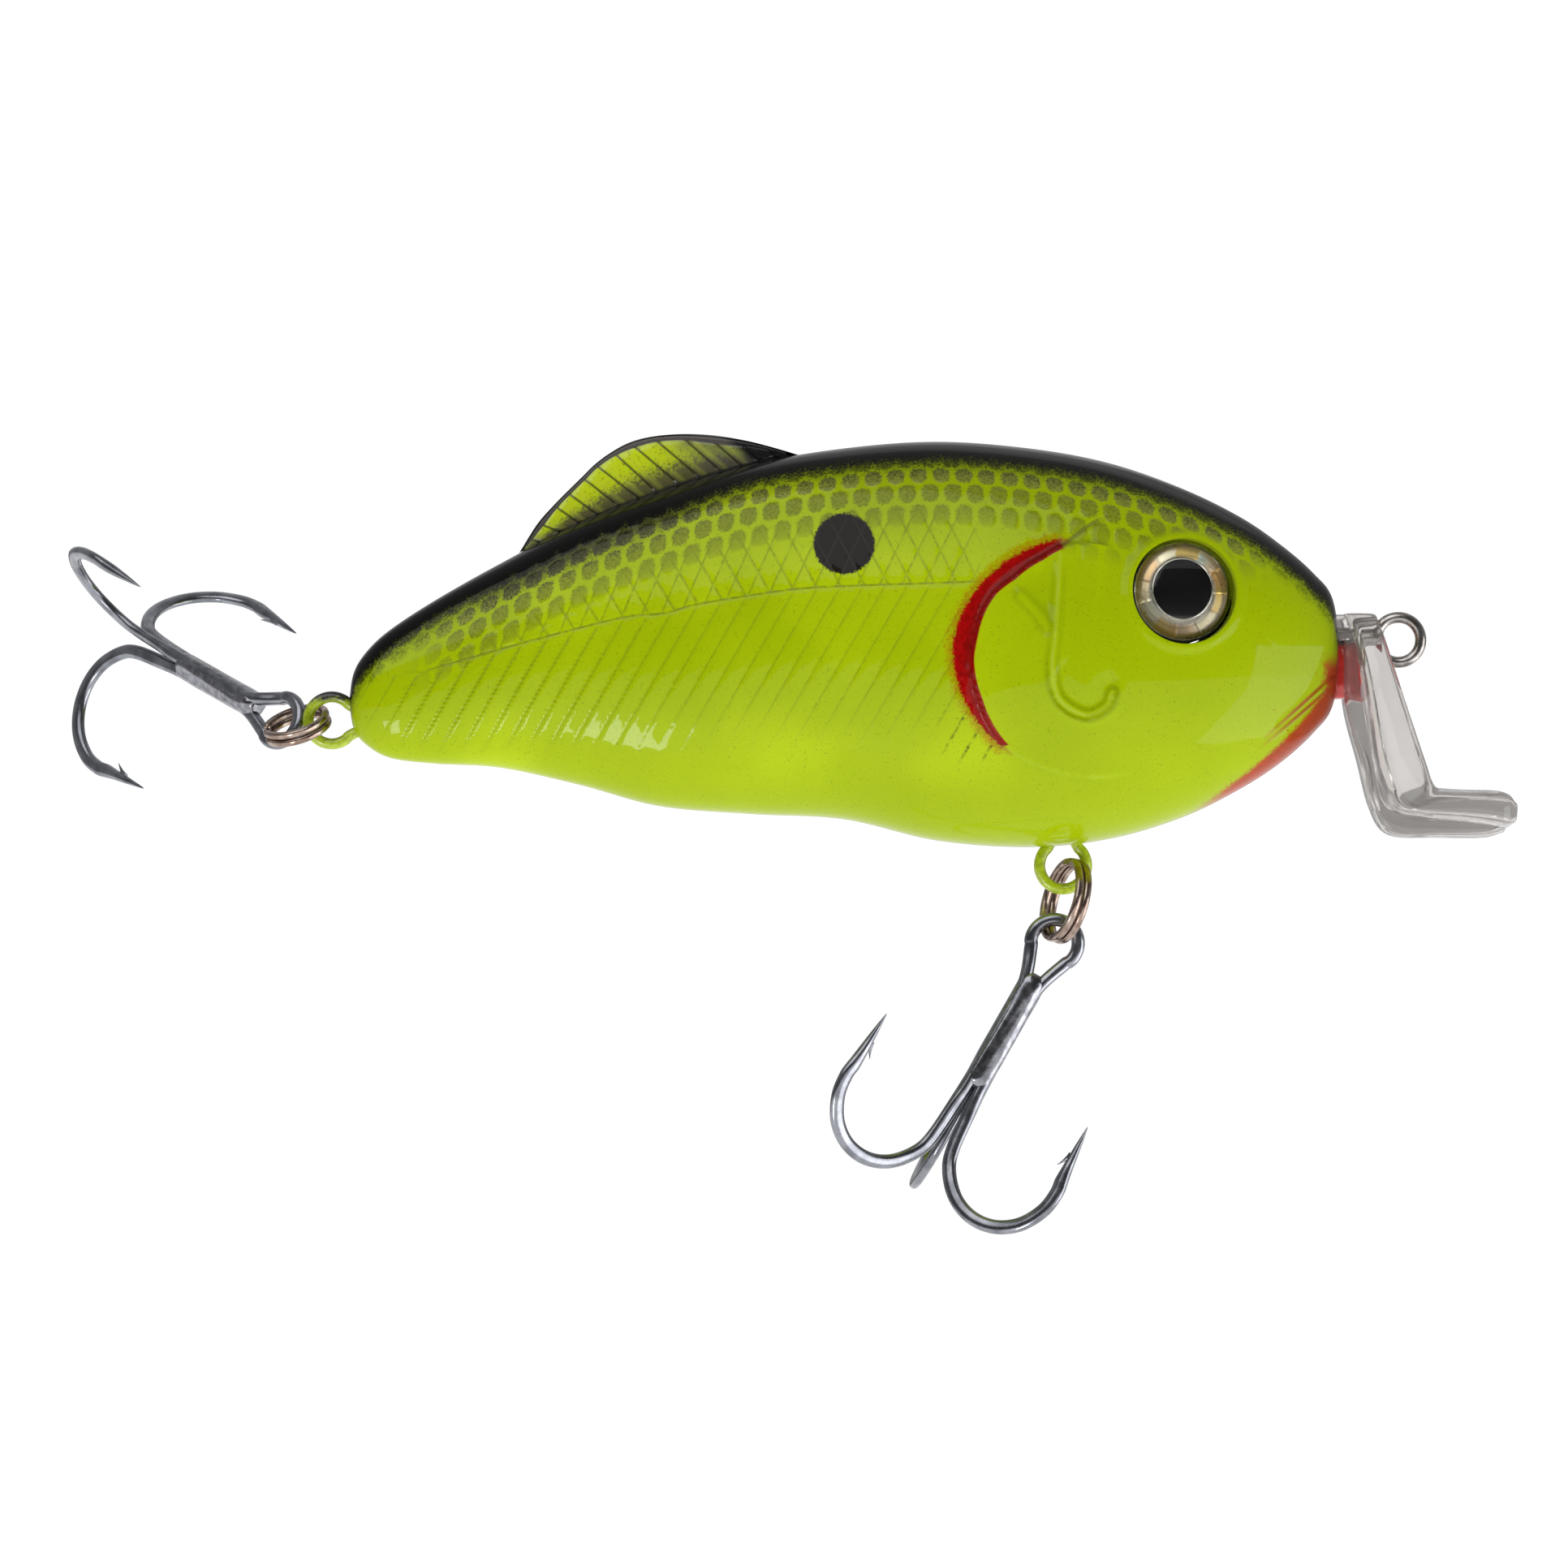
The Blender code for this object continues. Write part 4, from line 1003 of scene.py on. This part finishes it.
def slab(stations, per, power, n=56):
    flat = catmull([(*f, *b, h) for f, b, h in stations], per)
    ang = np.linspace(0, 2 * math.pi, n, endpoint=False)
    c, s = np.cos(ang), np.sin(ang)
    cy = np.sign(c) * np.abs(c) ** (2 / power)
    ct = np.sign(s) * np.abs(s) ** (2 / power)
    rings = []
    for fx, fz, bx, bz, half in flat:
        m = np.array([(fx + bx) / 2, 0, (fz + bz) / 2])
        T = np.array([(fx - bx) / 2, 0, (fz - bz) / 2])
        rings.append(m[None] + T[None] * ct[:, None] + np.array([0, 1.0, 0])[None] * (cy * half)[:, None])

    def end(ring, near):
        c0, c1 = ring.mean(0), near.mean(0)
        d = unit(c0 - c1)
        out = []
        for sc, push in ((0.97, 0.10), (0.90, 0.18), (0.75, 0.24), (0.4, 0.27)):
            out.append(c0 + (ring - c0) * sc + d * push)
        return out

    rings = end(rings[0], rings[1])[::-1] + rings + end(rings[-1], rings[-2])
    return loft(rings)


def bar(sections, power=4.0, n=48):
    """Solid along X: sections are x, centre z, half height, half width."""
    ang = np.linspace(0, 2 * math.pi, n, endpoint=False)
    c, s = np.cos(ang), np.sin(ang)
    cy = np.sign(c) * np.abs(c) ** (2 / power)
    cz = np.sign(s) * np.abs(s) ** (2 / power)
    flat = catmull(sections, 6)
    return loft([np.stack([np.full(n, x), cy * hy, zc + cz * hz], 1) for x, zc, hz, hy in flat])


CLEAR = Mat("clear_plastic", Roughness=0.1, Transmission_Weight=0.86, IOR=1.48)
_n = CLEAR.noise(5.0, 2.0)
CLEAR.set("Base Color", CLEAR.mix(_n.step(0.3, 0.7), lin(214, 210, 207), lin(224, 220, 217)))
CLEAR.set("Roughness", CLEAR.noise(1.2, 3.0).step(0.50, 0.8) * 0.12 + 0.07)
CLEAR.bump(CLEAR.noise(2.2, 2.0, stretch=(1.0, 1.0, 0.35)), 0.12, 0.45)

blade = make_mesh("blade", *slab(LIP, 7, 4.5))
rib = make_mesh("rib", *slab(RIB, 6, 4.0, 40))
collar = make_mesh("collar", *bar([(-6.6, 0.9, 0.95, 1.75), (-5.2, 0.92, 0.98, 1.8), (-4.0, 0.92, 0.98, 2.0), (-2.6, 0.9, 0.95, 2.1), (-2.0, 0.9, 0.85, 2.0)], 5.0))
lip_mesh = boolean(blade, [rib, collar], "UNION")
piece("clear_lip", lip_mesh, CLEAR, "root", ("diving_lip",), sharp=50)

NECK = Mat("neck_paint", Roughness=0.25, Coat_Weight=1.0, Coat_Roughness=0.04)
_x, _y, _z = NECK.xyz()
_c = NECK.mix(NECK.noise(0.5, 2.0).step(0.3, 0.7), lin(206, 34, 22), lin(220, 46, 32))
_c = NECK.mix((_x + NECK.noise(0.5) - 0.5).step(-4.6, -5.6) * 0.6, _c, lin(110, 96, 60))
_c = NECK.mix((_z + NECK.noise(0.4) - 0.5).step(-0.7, -0.1) * 0.5, _c, lin(150, 110, 100))
NECK.set("Base Color", _c)
NECK.bump(NECK.noise(0.6, 2.0), 0.04, 0.5)
v, f = bar([(-7.2, -2.4, 2.3, 1.7), (-5.6, -2.4, 2.3, 1.7), (-4.9, -2.4, 2.15, 1.45), (-4.3, -2.4, 2.1, 1.35), (-3.75, -2.4, 2.15, 1.5), (-3.35, -2.4, 2.35, 1.9), (-3.0, -2.4, 2.45, 2.1)], 4.0)
piece("lip_neck", make_mesh("neck", v, f), NECK, "root")


# ---------------------------------------------------------------- wires
def steel(name, dark, light, rough=0.2, grain=0.25):
    m = Mat(name, Metallic=1.0, Roughness=rough)
    n = m.noise(0.9, 3.0)
    s = m.noise(0.14, 2.0, stretch=(1.0, 1.0, 0.2))
    col = m.mix(n.step(0.3, 0.7), dark, light)
    col = m.mix(s.step(0.62, 0.8) * 0.35, col, tuple(c * 0.5 for c in dark[:3]) + (1.0,))
    m.set("Base Color", col)
    m.set("Roughness", s * grain + rough * 0.6)
    m.bump(s, 0.02, 0.35)
    return m


STAINLESS = steel("stainless", lin(150, 144, 140), lin(196, 192, 188), 0.16, 0.2)
RING_STEEL = steel("ring_steel", lin(138, 116, 104), lin(186, 168, 156), 0.16, 0.2)


def hanger_paint():
    m = Mat("hanger_paint", Roughness=0.3, Coat_Weight=0.8, Coat_Roughness=0.06)
    x, y, z = m.xyz()
    n = m.noise(0.35, 2.0)
    col = m.mix(n.step(0.35, 0.65), lin(160, 180, 8), lin(182, 204, 14))
    col = m.mix(m.noise(0.16).step(0.62, 0.75) * 0.4, col, lin(104, 116, 6))
    black = (z + (n - 0.5) * 1.2).step(-4.9, -4.2) * x.step(-70, -76)
    m.set("Base Color", m.mix(black, col, lin(16, 15, 14)))
    m.set("Roughness", n * 0.15 + 0.22)
    m.bump(m.noise(0.8), 0.05, 0.5)
    return m


HANGER = hanger_paint()


def arc(centre, u, v, r, a0, a1, n):
    a = np.radians(np.linspace(a0, a1, n + 1))
    return [np.asarray(centre) + np.asarray(u) * (r * math.cos(t)) + np.asarray(v) * (r * math.sin(t)) for t in a]


def figure_eight(eye, back, r_out, r_in, leg):
    eye, back = np.array(eye, float), np.array(back, float)
    d = unit(back - eye)
    n = np.cross([0, 1.0, 0], d)
    oo = math.degrees(math.asin(leg / r_out)) + 14
    oi = math.degrees(math.asin(leg / r_in)) + 14
    out = arc(eye, d, n, r_out, oo, 360 - oo, 26)
    inner = arc(back, -d, -n, r_in, oi, 360 - oi, 20)
    span = np.linalg.norm(back - eye)
    h0, h1 = eye + d * (r_out + 0.35), eye + d * (span - r_in - 0.35)
    pts = out + [h0 - n * leg, (h0 + h1) / 2 - n * leg, h1 - n * leg] + inner + [h1 + n * leg, (h0 + h1) / 2 + n * leg, h0 + n * leg]
    return resample(catmull(pts, 6, True), 0.16, True)


for name, eye, back, ro, ri, leg, mat, slot in (
    ("line_tie_wire", (0, 0, 0), (-13.2, 0, 0), 1.70, 1.5, 0.52, STAINLESS, "stainless"),
    ("belly_hanger_wire", (-25.4, 0, -17.1), (-25.4, 0, -11.8), 1.78, 1.55, 0.80, HANGER, "hanger_paint"),
    ("tail_hanger_wire", (-80.8, 0, -6.1), (-75.5, 0, -6.1), 1.78, 1.55, 0.80, HANGER, "hanger_paint"),
):
    cad = {"line_tie_wire": "line_tie", "belly_hanger_wire": "belly_hook_hanger", "tail_hanger_wire": "tail_hook_hanger"}[name]
    v, f = tube(figure_eight(eye, back, ro, ri, leg), 0.43, (0, 1, 0), 24, True)
    piece(name, make_mesh(name, v, f), mat, "root", (cad,), sharp=60)

SPLIT = {
    "belly": ((-25.25, -0.87, -19.75), (-0.291, 0.049, -0.955), (0.315, -0.938, -0.144), 3.0, 0.60),
    "tail": ((-83.44, 0.07, -6.48), (0.954, 0.028, 0.298), (0.138, -0.925, -0.355), 2.35, 0.56),
}
for tag, (centre, u, v, r, thick) in SPLIT.items():
    u = unit(u)
    v = unit(np.array(v) - u * np.dot(v, u))
    axis = np.cross(u, v)
    a = np.linspace(0, 692, 420)
    t = np.clip((a - 322) / 48.0, 0, 1)
    lift = -thick * 0.56 + 2 * thick * 0.56 * (t * t * (3 - 2 * t))
    ang = np.radians(200 + a)
    path = np.array(centre)[None] + u[None] * (r * np.cos(ang))[:, None] + v[None] * (r * np.sin(ang))[:, None] + axis[None] * lift[:, None]
    vv, ff = tube(path, thick / 2, axis, 20, False, (1.0, 0.98), 2.6)
    piece(f"{tag}_ring_coils", make_mesh("ring", vv, ff), RING_STEEL, f"{tag}_ring", (f"{tag}_split_ring",), sharp=60)


# ---------------------------------------------------------------- treble hooks
def nickel():
    m = Mat("black_nickel", Metallic=1.0, Roughness=0.22)
    n = m.noise(1.4, 3.0)
    s = m.noise(0.12, 2.0, stretch=(1.0, 1.0, 0.25))
    col = m.mix(n.step(0.3, 0.7), lin(122, 124, 131), lin(158, 160, 167))
    col = m.mix(s.step(0.60, 0.78) * 0.3, col, lin(70, 70, 76))
    m.set("Base Color", col)
    m.set("Roughness", s * 0.16 + 0.12)
    m.bump(s * 0.5 + n * 0.5, 0.012, 0.3)
    return m


def braze():
    m = Mat("brazed_nickel", Metallic=1.0, Roughness=0.2)
    n = m.noise(0.5, 3.0)
    c = m.cells(0.28)
    col = m.mix(n.step(0.3, 0.7), lin(124, 124, 130), lin(166, 167, 173))
    col = m.mix(c.step(0.35, 0.1) * 0.10, col, lin(60, 60, 64))
    m.set("Base Color", col)
    m.set("Roughness", n * 0.14 + 0.12)
    m.bump(c * 0.2 + n * 0.8, 0.016, 0.4)
    return m


NICKEL, BRAZE = nickel(), braze()
HOOK_WIRE, HOOK_TOTAL, EYE_LEN, EYE_WID, BRAZE_END, BEND_R, TIP_RISE = 1.0, 23.9, 4.3, 3.6, 14.5, 4.75, 10.8
TREBLE = {
    "belly": ((-24.93, -0.23, -20.98), (-0.491, -0.007, -0.871), (0.871, 0.013, -0.491), 30.0),
    "tail": ((-83.25, 0.25, -6.92), (-0.664, 0.653, 0.365), (0.461, -0.027, 0.886), 174.0),
}


def hook_path(top, axis, out, off, from_shank):
    p = [top + axis * from_shank + out * off, top + axis * 10.0 + out * off, top + axis * (BRAZE_END - 0.8) + out * off]
    depth = HOOK_TOTAL - HOOK_WIRE / 2 - BEND_R
    mid = BEND_R + 0.95
    p.append(top + axis * (BRAZE_END + 1.6) + out * (off + 0.12))
    for a in (168, 146, 120, 95, 70, 45, 20, 0, -14):
        r = math.radians(a)
        p.append(top + axis * (depth + BEND_R * math.sin(r)) + out * (mid + BEND_R * math.cos(r)))
    p.append(top + axis * (HOOK_TOTAL - TIP_RISE + 2.9) + out * (mid + BEND_R - 0.25))
    p.append(top + axis * (HOOK_TOTAL - TIP_RISE) + out * (mid + BEND_R - 0.45))
    return p


def taper(path, from_tip):
    """Wire radius by distance from the tip."""
    return 0.5 * np.where(from_tip < 4.6, np.clip(0.05 + 0.95 * (from_tip / 4.6) ** 0.8, 0.05, 1), 1.0)


def barb(top, axis, out):
    """A small cut barb on the inner side of the spear."""
    n = unit(np.cross(axis, out))
    mid = BEND_R + 0.95
    base = top + axis * (HOOK_TOTAL - TIP_RISE + 3.6) + out * (mid + BEND_R - 0.27)
    rings = []
    for k in range(9):
        t = k / 8.0
        c = base - axis * (1.0 - t) * 1.25 - out * (0.22 + 0.62 * t**1.4)
        wide = 0.20 * (1 - 0.85 * t) + 0.02
        tall = 0.24 * (1 - t) + 0.03
        ring = [c + n * wide * math.cos(a) + out * tall * math.sin(a) for a in np.linspace(0, 2 * math.pi, 10, endpoint=False)]
        rings.append(np.array(ring))
    return loft(rings)


for tag, (top, axis, plane, turn) in TREBLE.items():
    top, axis = np.array(top), unit(axis)
    e = unit(np.array(plane) - axis * np.dot(plane, axis))
    f = np.cross(axis, e)
    dirs = []
    for k in range(3):
        a = math.radians(turn + 120 * k)
        dirs.append(e * math.cos(a) + f * math.sin(a))
    off = 0.60
    first, second = (hook_path(top, axis, dirs[k], off, EYE_LEN + HOOK_WIRE + 0.9) for k in (0, 1))
    third = hook_path(top, axis, dirs[2], off, EYE_LEN + HOOK_WIRE + 0.6)
    c = top + axis * (HOOK_WIRE / 2 + EYE_WID / 2)
    loop = arc(c, e, -axis, EYE_WID / 2, -38, 218, 16)
    flip = np.dot(dirs[0], e) < np.dot(dirs[1], e)
    if flip:
        loop = loop[::-1]
    pts = first[::-1] + loop + second
    path = resample(catmull(pts, 8), 0.17)
    s = np.concatenate([[0], np.cumsum(np.linalg.norm(np.diff(path, axis=0), axis=1))])
    near = np.minimum(s, s[-1] - s)
    deep = (path - top) @ axis
    n0, n1 = np.cross(axis, dirs[0]), np.cross(axis, dirs[1])
    nf = f
    n0, n1 = n0 * np.sign(np.dot(n0, nf) or 1), n1 * np.sign(np.dot(n1, nf) or 1)
    k = smooth(13.5, 6.0, deep)[:, None]
    hook_n = np.where((np.arange(len(path)) < len(path) / 2)[:, None], n0[None], n1[None])
    normals = unit(hook_n * (1 - k) + nf[None] * k)
    forged = smooth(15.0, 17.5, deep) * smooth(2.5, 5.5, near)
    flat_eye = smooth(5.0, 3.5, deep)
    fa = 1.0 - 0.24 * forged - 0.10 * flat_eye
    fb = 1.0 + 0.10 * forged + 0.02 * flat_eye
    parts = [tube(path, taper(path, near), normals, 20, False, (fa, fb), 2.3, "flat")]
    body = f"{tag}_hook"
    piece(f"{tag}_treble_pair", make_mesh("hook", *parts[0]), NICKEL, body, (f"{tag}_treble_double",), sharp=60)
    path3 = resample(catmull(third, 8), 0.17)
    s3 = np.concatenate([[0], np.cumsum(np.linalg.norm(np.diff(path3, axis=0), axis=1))])
    near3 = s3[-1] - s3
    deep3 = (path3 - top) @ axis
    forged = smooth(15.0, 17.5, deep3) * smooth(2.5, 5.5, near3)
    v3 = tube(path3, taper(path3, near3), np.cross(axis, dirs[2]), 20, False, (1 - 0.24 * forged, 1 + 0.10 * forged), 2.3, "flat")
    piece(f"{tag}_treble_third", make_mesh("hook", *v3), NICKEL, body, (f"{tag}_treble_single",), sharp=60)
    for k in range(3):
        piece(f"{tag}_barb_{k + 1}", make_mesh("barb", *barb(top, axis, dirs[k])), NICKEL, body, sharp=60)
    # brazed shank: three lobes that flow into one bar
    rings = []
    m = 60
    ang = np.linspace(0, 2 * math.pi, m, endpoint=False)
    for depth, r0, lobe in ((5.0, 0.30, 0.0), (5.05, 0.62, 0.02), (5.25, 0.84, 0.04), (5.7, 0.99, 0.05), (6.6, 1.05, 0.05), (8.0, 1.04, 0.06), (10.0, 1.03, 0.07), (12.0, 1.03, 0.07), (13.6, 1.03, 0.08), (14.2, 1.00, 0.09), (14.45, 0.90, 0.10), (14.6, 0.72, 0.08), (14.7, 0.45, 0.04), (14.75, 0.25, 0.0)):
        ripple = 0.012 * math.sin(depth * 9.1)
        rr = r0 + ripple + lobe * np.cos(3 * (ang - math.radians(turn)))
        wob = 0.014 * np.sin(5 * ang + depth * 3.0) + 0.01 * np.sin(8 * ang - depth * 4.0)
        rr = rr + wob
        rings.append(top[None] + axis[None] * depth + e[None] * (rr * np.cos(ang))[:, None] + f[None] * (rr * np.sin(ang))[:, None])
    flat = catmull([r.ravel() for r in rings], 5).reshape(-1, m, 3)
    piece(f"{tag}_braze", make_mesh("braze", *loft(list(flat))), BRAZE, body, sharp=60)


# ---------------------------------------------------------------- carried-over nodes: ballast and rattles
def lead():
    m = Mat("lead_ballast", Metallic=0.85, Roughness=0.55)
    n = m.noise(1.1, 4.0)
    m.set("Base Color", m.mix(n.step(0.3, 0.7), lin(96, 98, 102), lin(150, 152, 156)))
    m.set("Roughness", n * 0.3 + 0.4)
    m.bump(n, 0.1, 0.5)
    return m


LEAD, BALL = lead(), steel("ball_steel", lin(150, 150, 152), lin(205, 205, 208), 0.12, 0.1)
for node, mat in (("keel_weight", LEAD), ("knocker_ball", BALL), ("rattle_ball_1", BALL), ("rattle_ball_2", BALL), ("rattle_ball_3", BALL)):
    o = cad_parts[node]
    for s in o.material_slots:
        s.material = mat.m
    if not o.material_slots:
        o.data.materials.append(mat.m)

# ---------------------------------------------------------------- stage, light, camera
FLOOR = Mat("floor_pale", Roughness=0.95, Specular_IOR_Level=0.1, Emission_Color=(1, 1, 1, 1), Emission_Strength=0.97)
FLOOR.set("Base Color", FLOOR.mix(FLOOR.noise(60.0).step(0.3, 0.7), (0.20, 0.20, 0.20, 1), (0.22, 0.22, 0.22, 1)))
v, f = loft([np.stack([3500 * r * np.cos(np.linspace(0, 2 * math.pi, 64, endpoint=False)), 3500 * r * np.sin(np.linspace(0, 2 * math.pi, 64, endpoint=False)), np.full(64, -620.0 - h)], 1) for r, h in ((1.0, 4.0), (1.0, 0.0), (0.5, 0.0), (0.1, 0.0))])
floor_mesh = make_mesh("floor", v, f)
floor_mesh.materials.append(FLOOR.m)
floor_obj = bpy.data.objects.new("floor", floor_mesh)
scene.collection.objects.link(floor_obj)

world = bpy.data.worlds.new("studio")
scene.world = world
world.use_nodes = True
wn = world.node_tree
bg = wn.nodes["Background"]
bg.inputs[0].default_value = (1, 1, 1, 1)
bg.inputs[1].default_value = 1.0
# brighter behind and above the object than on the camera's side of the studio
wc = wn.nodes.new("ShaderNodeTexCoord")
ws = wn.nodes.new("ShaderNodeSeparateXYZ")
wn.links.new(wc.outputs["Generated"], ws.inputs[0])
soft = E(wn, ws.outputs[1]).step(-0.7, 0.35) * 0.27 + 0.09
lp = wn.nodes.new("ShaderNodeLightPath")
seen = E(wn, lp.outputs["Is Camera Ray"])
wn.links.new((seen * 1.06).max(soft).s, bg.inputs[1])


def area(name, at, target, size, power):
    d = bpy.data.lights.new(name, "AREA")
    d.shape = "RECTANGLE"
    d.size, d.size_y = size
    d.energy = power
    o = bpy.data.objects.new(name, d)
    scene.collection.objects.link(o)
    o.location = at
    o.rotation_mode = "QUATERNION"
    o.rotation_quaternion = (Vector(target) - Vector(at)).to_track_quat("-Z", "Y")
    return o


mid = (-0.036, 0, -0.01)
area("key", (-0.34, -0.62, 0.62), mid, (0.95, 0.75), 3.2)
area("fill_right", (0.50, -0.24, -0.20), mid, (0.46, 0.52), 1.6)
area("fill_left", (-0.27, -0.45, -0.33), mid, (0.09, 0.17), 0.55)
area("top", (0.0, 0.55, 0.65), mid, (0.9, 0.25), 0.2)
area("rear", (-0.2, 0.8, 0.35), mid, (0.7, 0.5), 0.35)

cam_data = bpy.data.cameras.new("camera")
cam = bpy.data.objects.new("camera", cam_data)
scene.collection.objects.link(cam)
DIST = 550.0
cam_data.sensor_width = 36.0
cam_data.lens = 36.0 * DIST / 118.8
cam_data.clip_start, cam_data.clip_end = 0.01, 20.0
cam.location = Vector((-46.54, -DIST, -10.92)) * MM
cam.rotation_euler = (math.pi / 2, 0, 0)
scene.camera = cam
scene.view_settings.view_transform = "Standard"
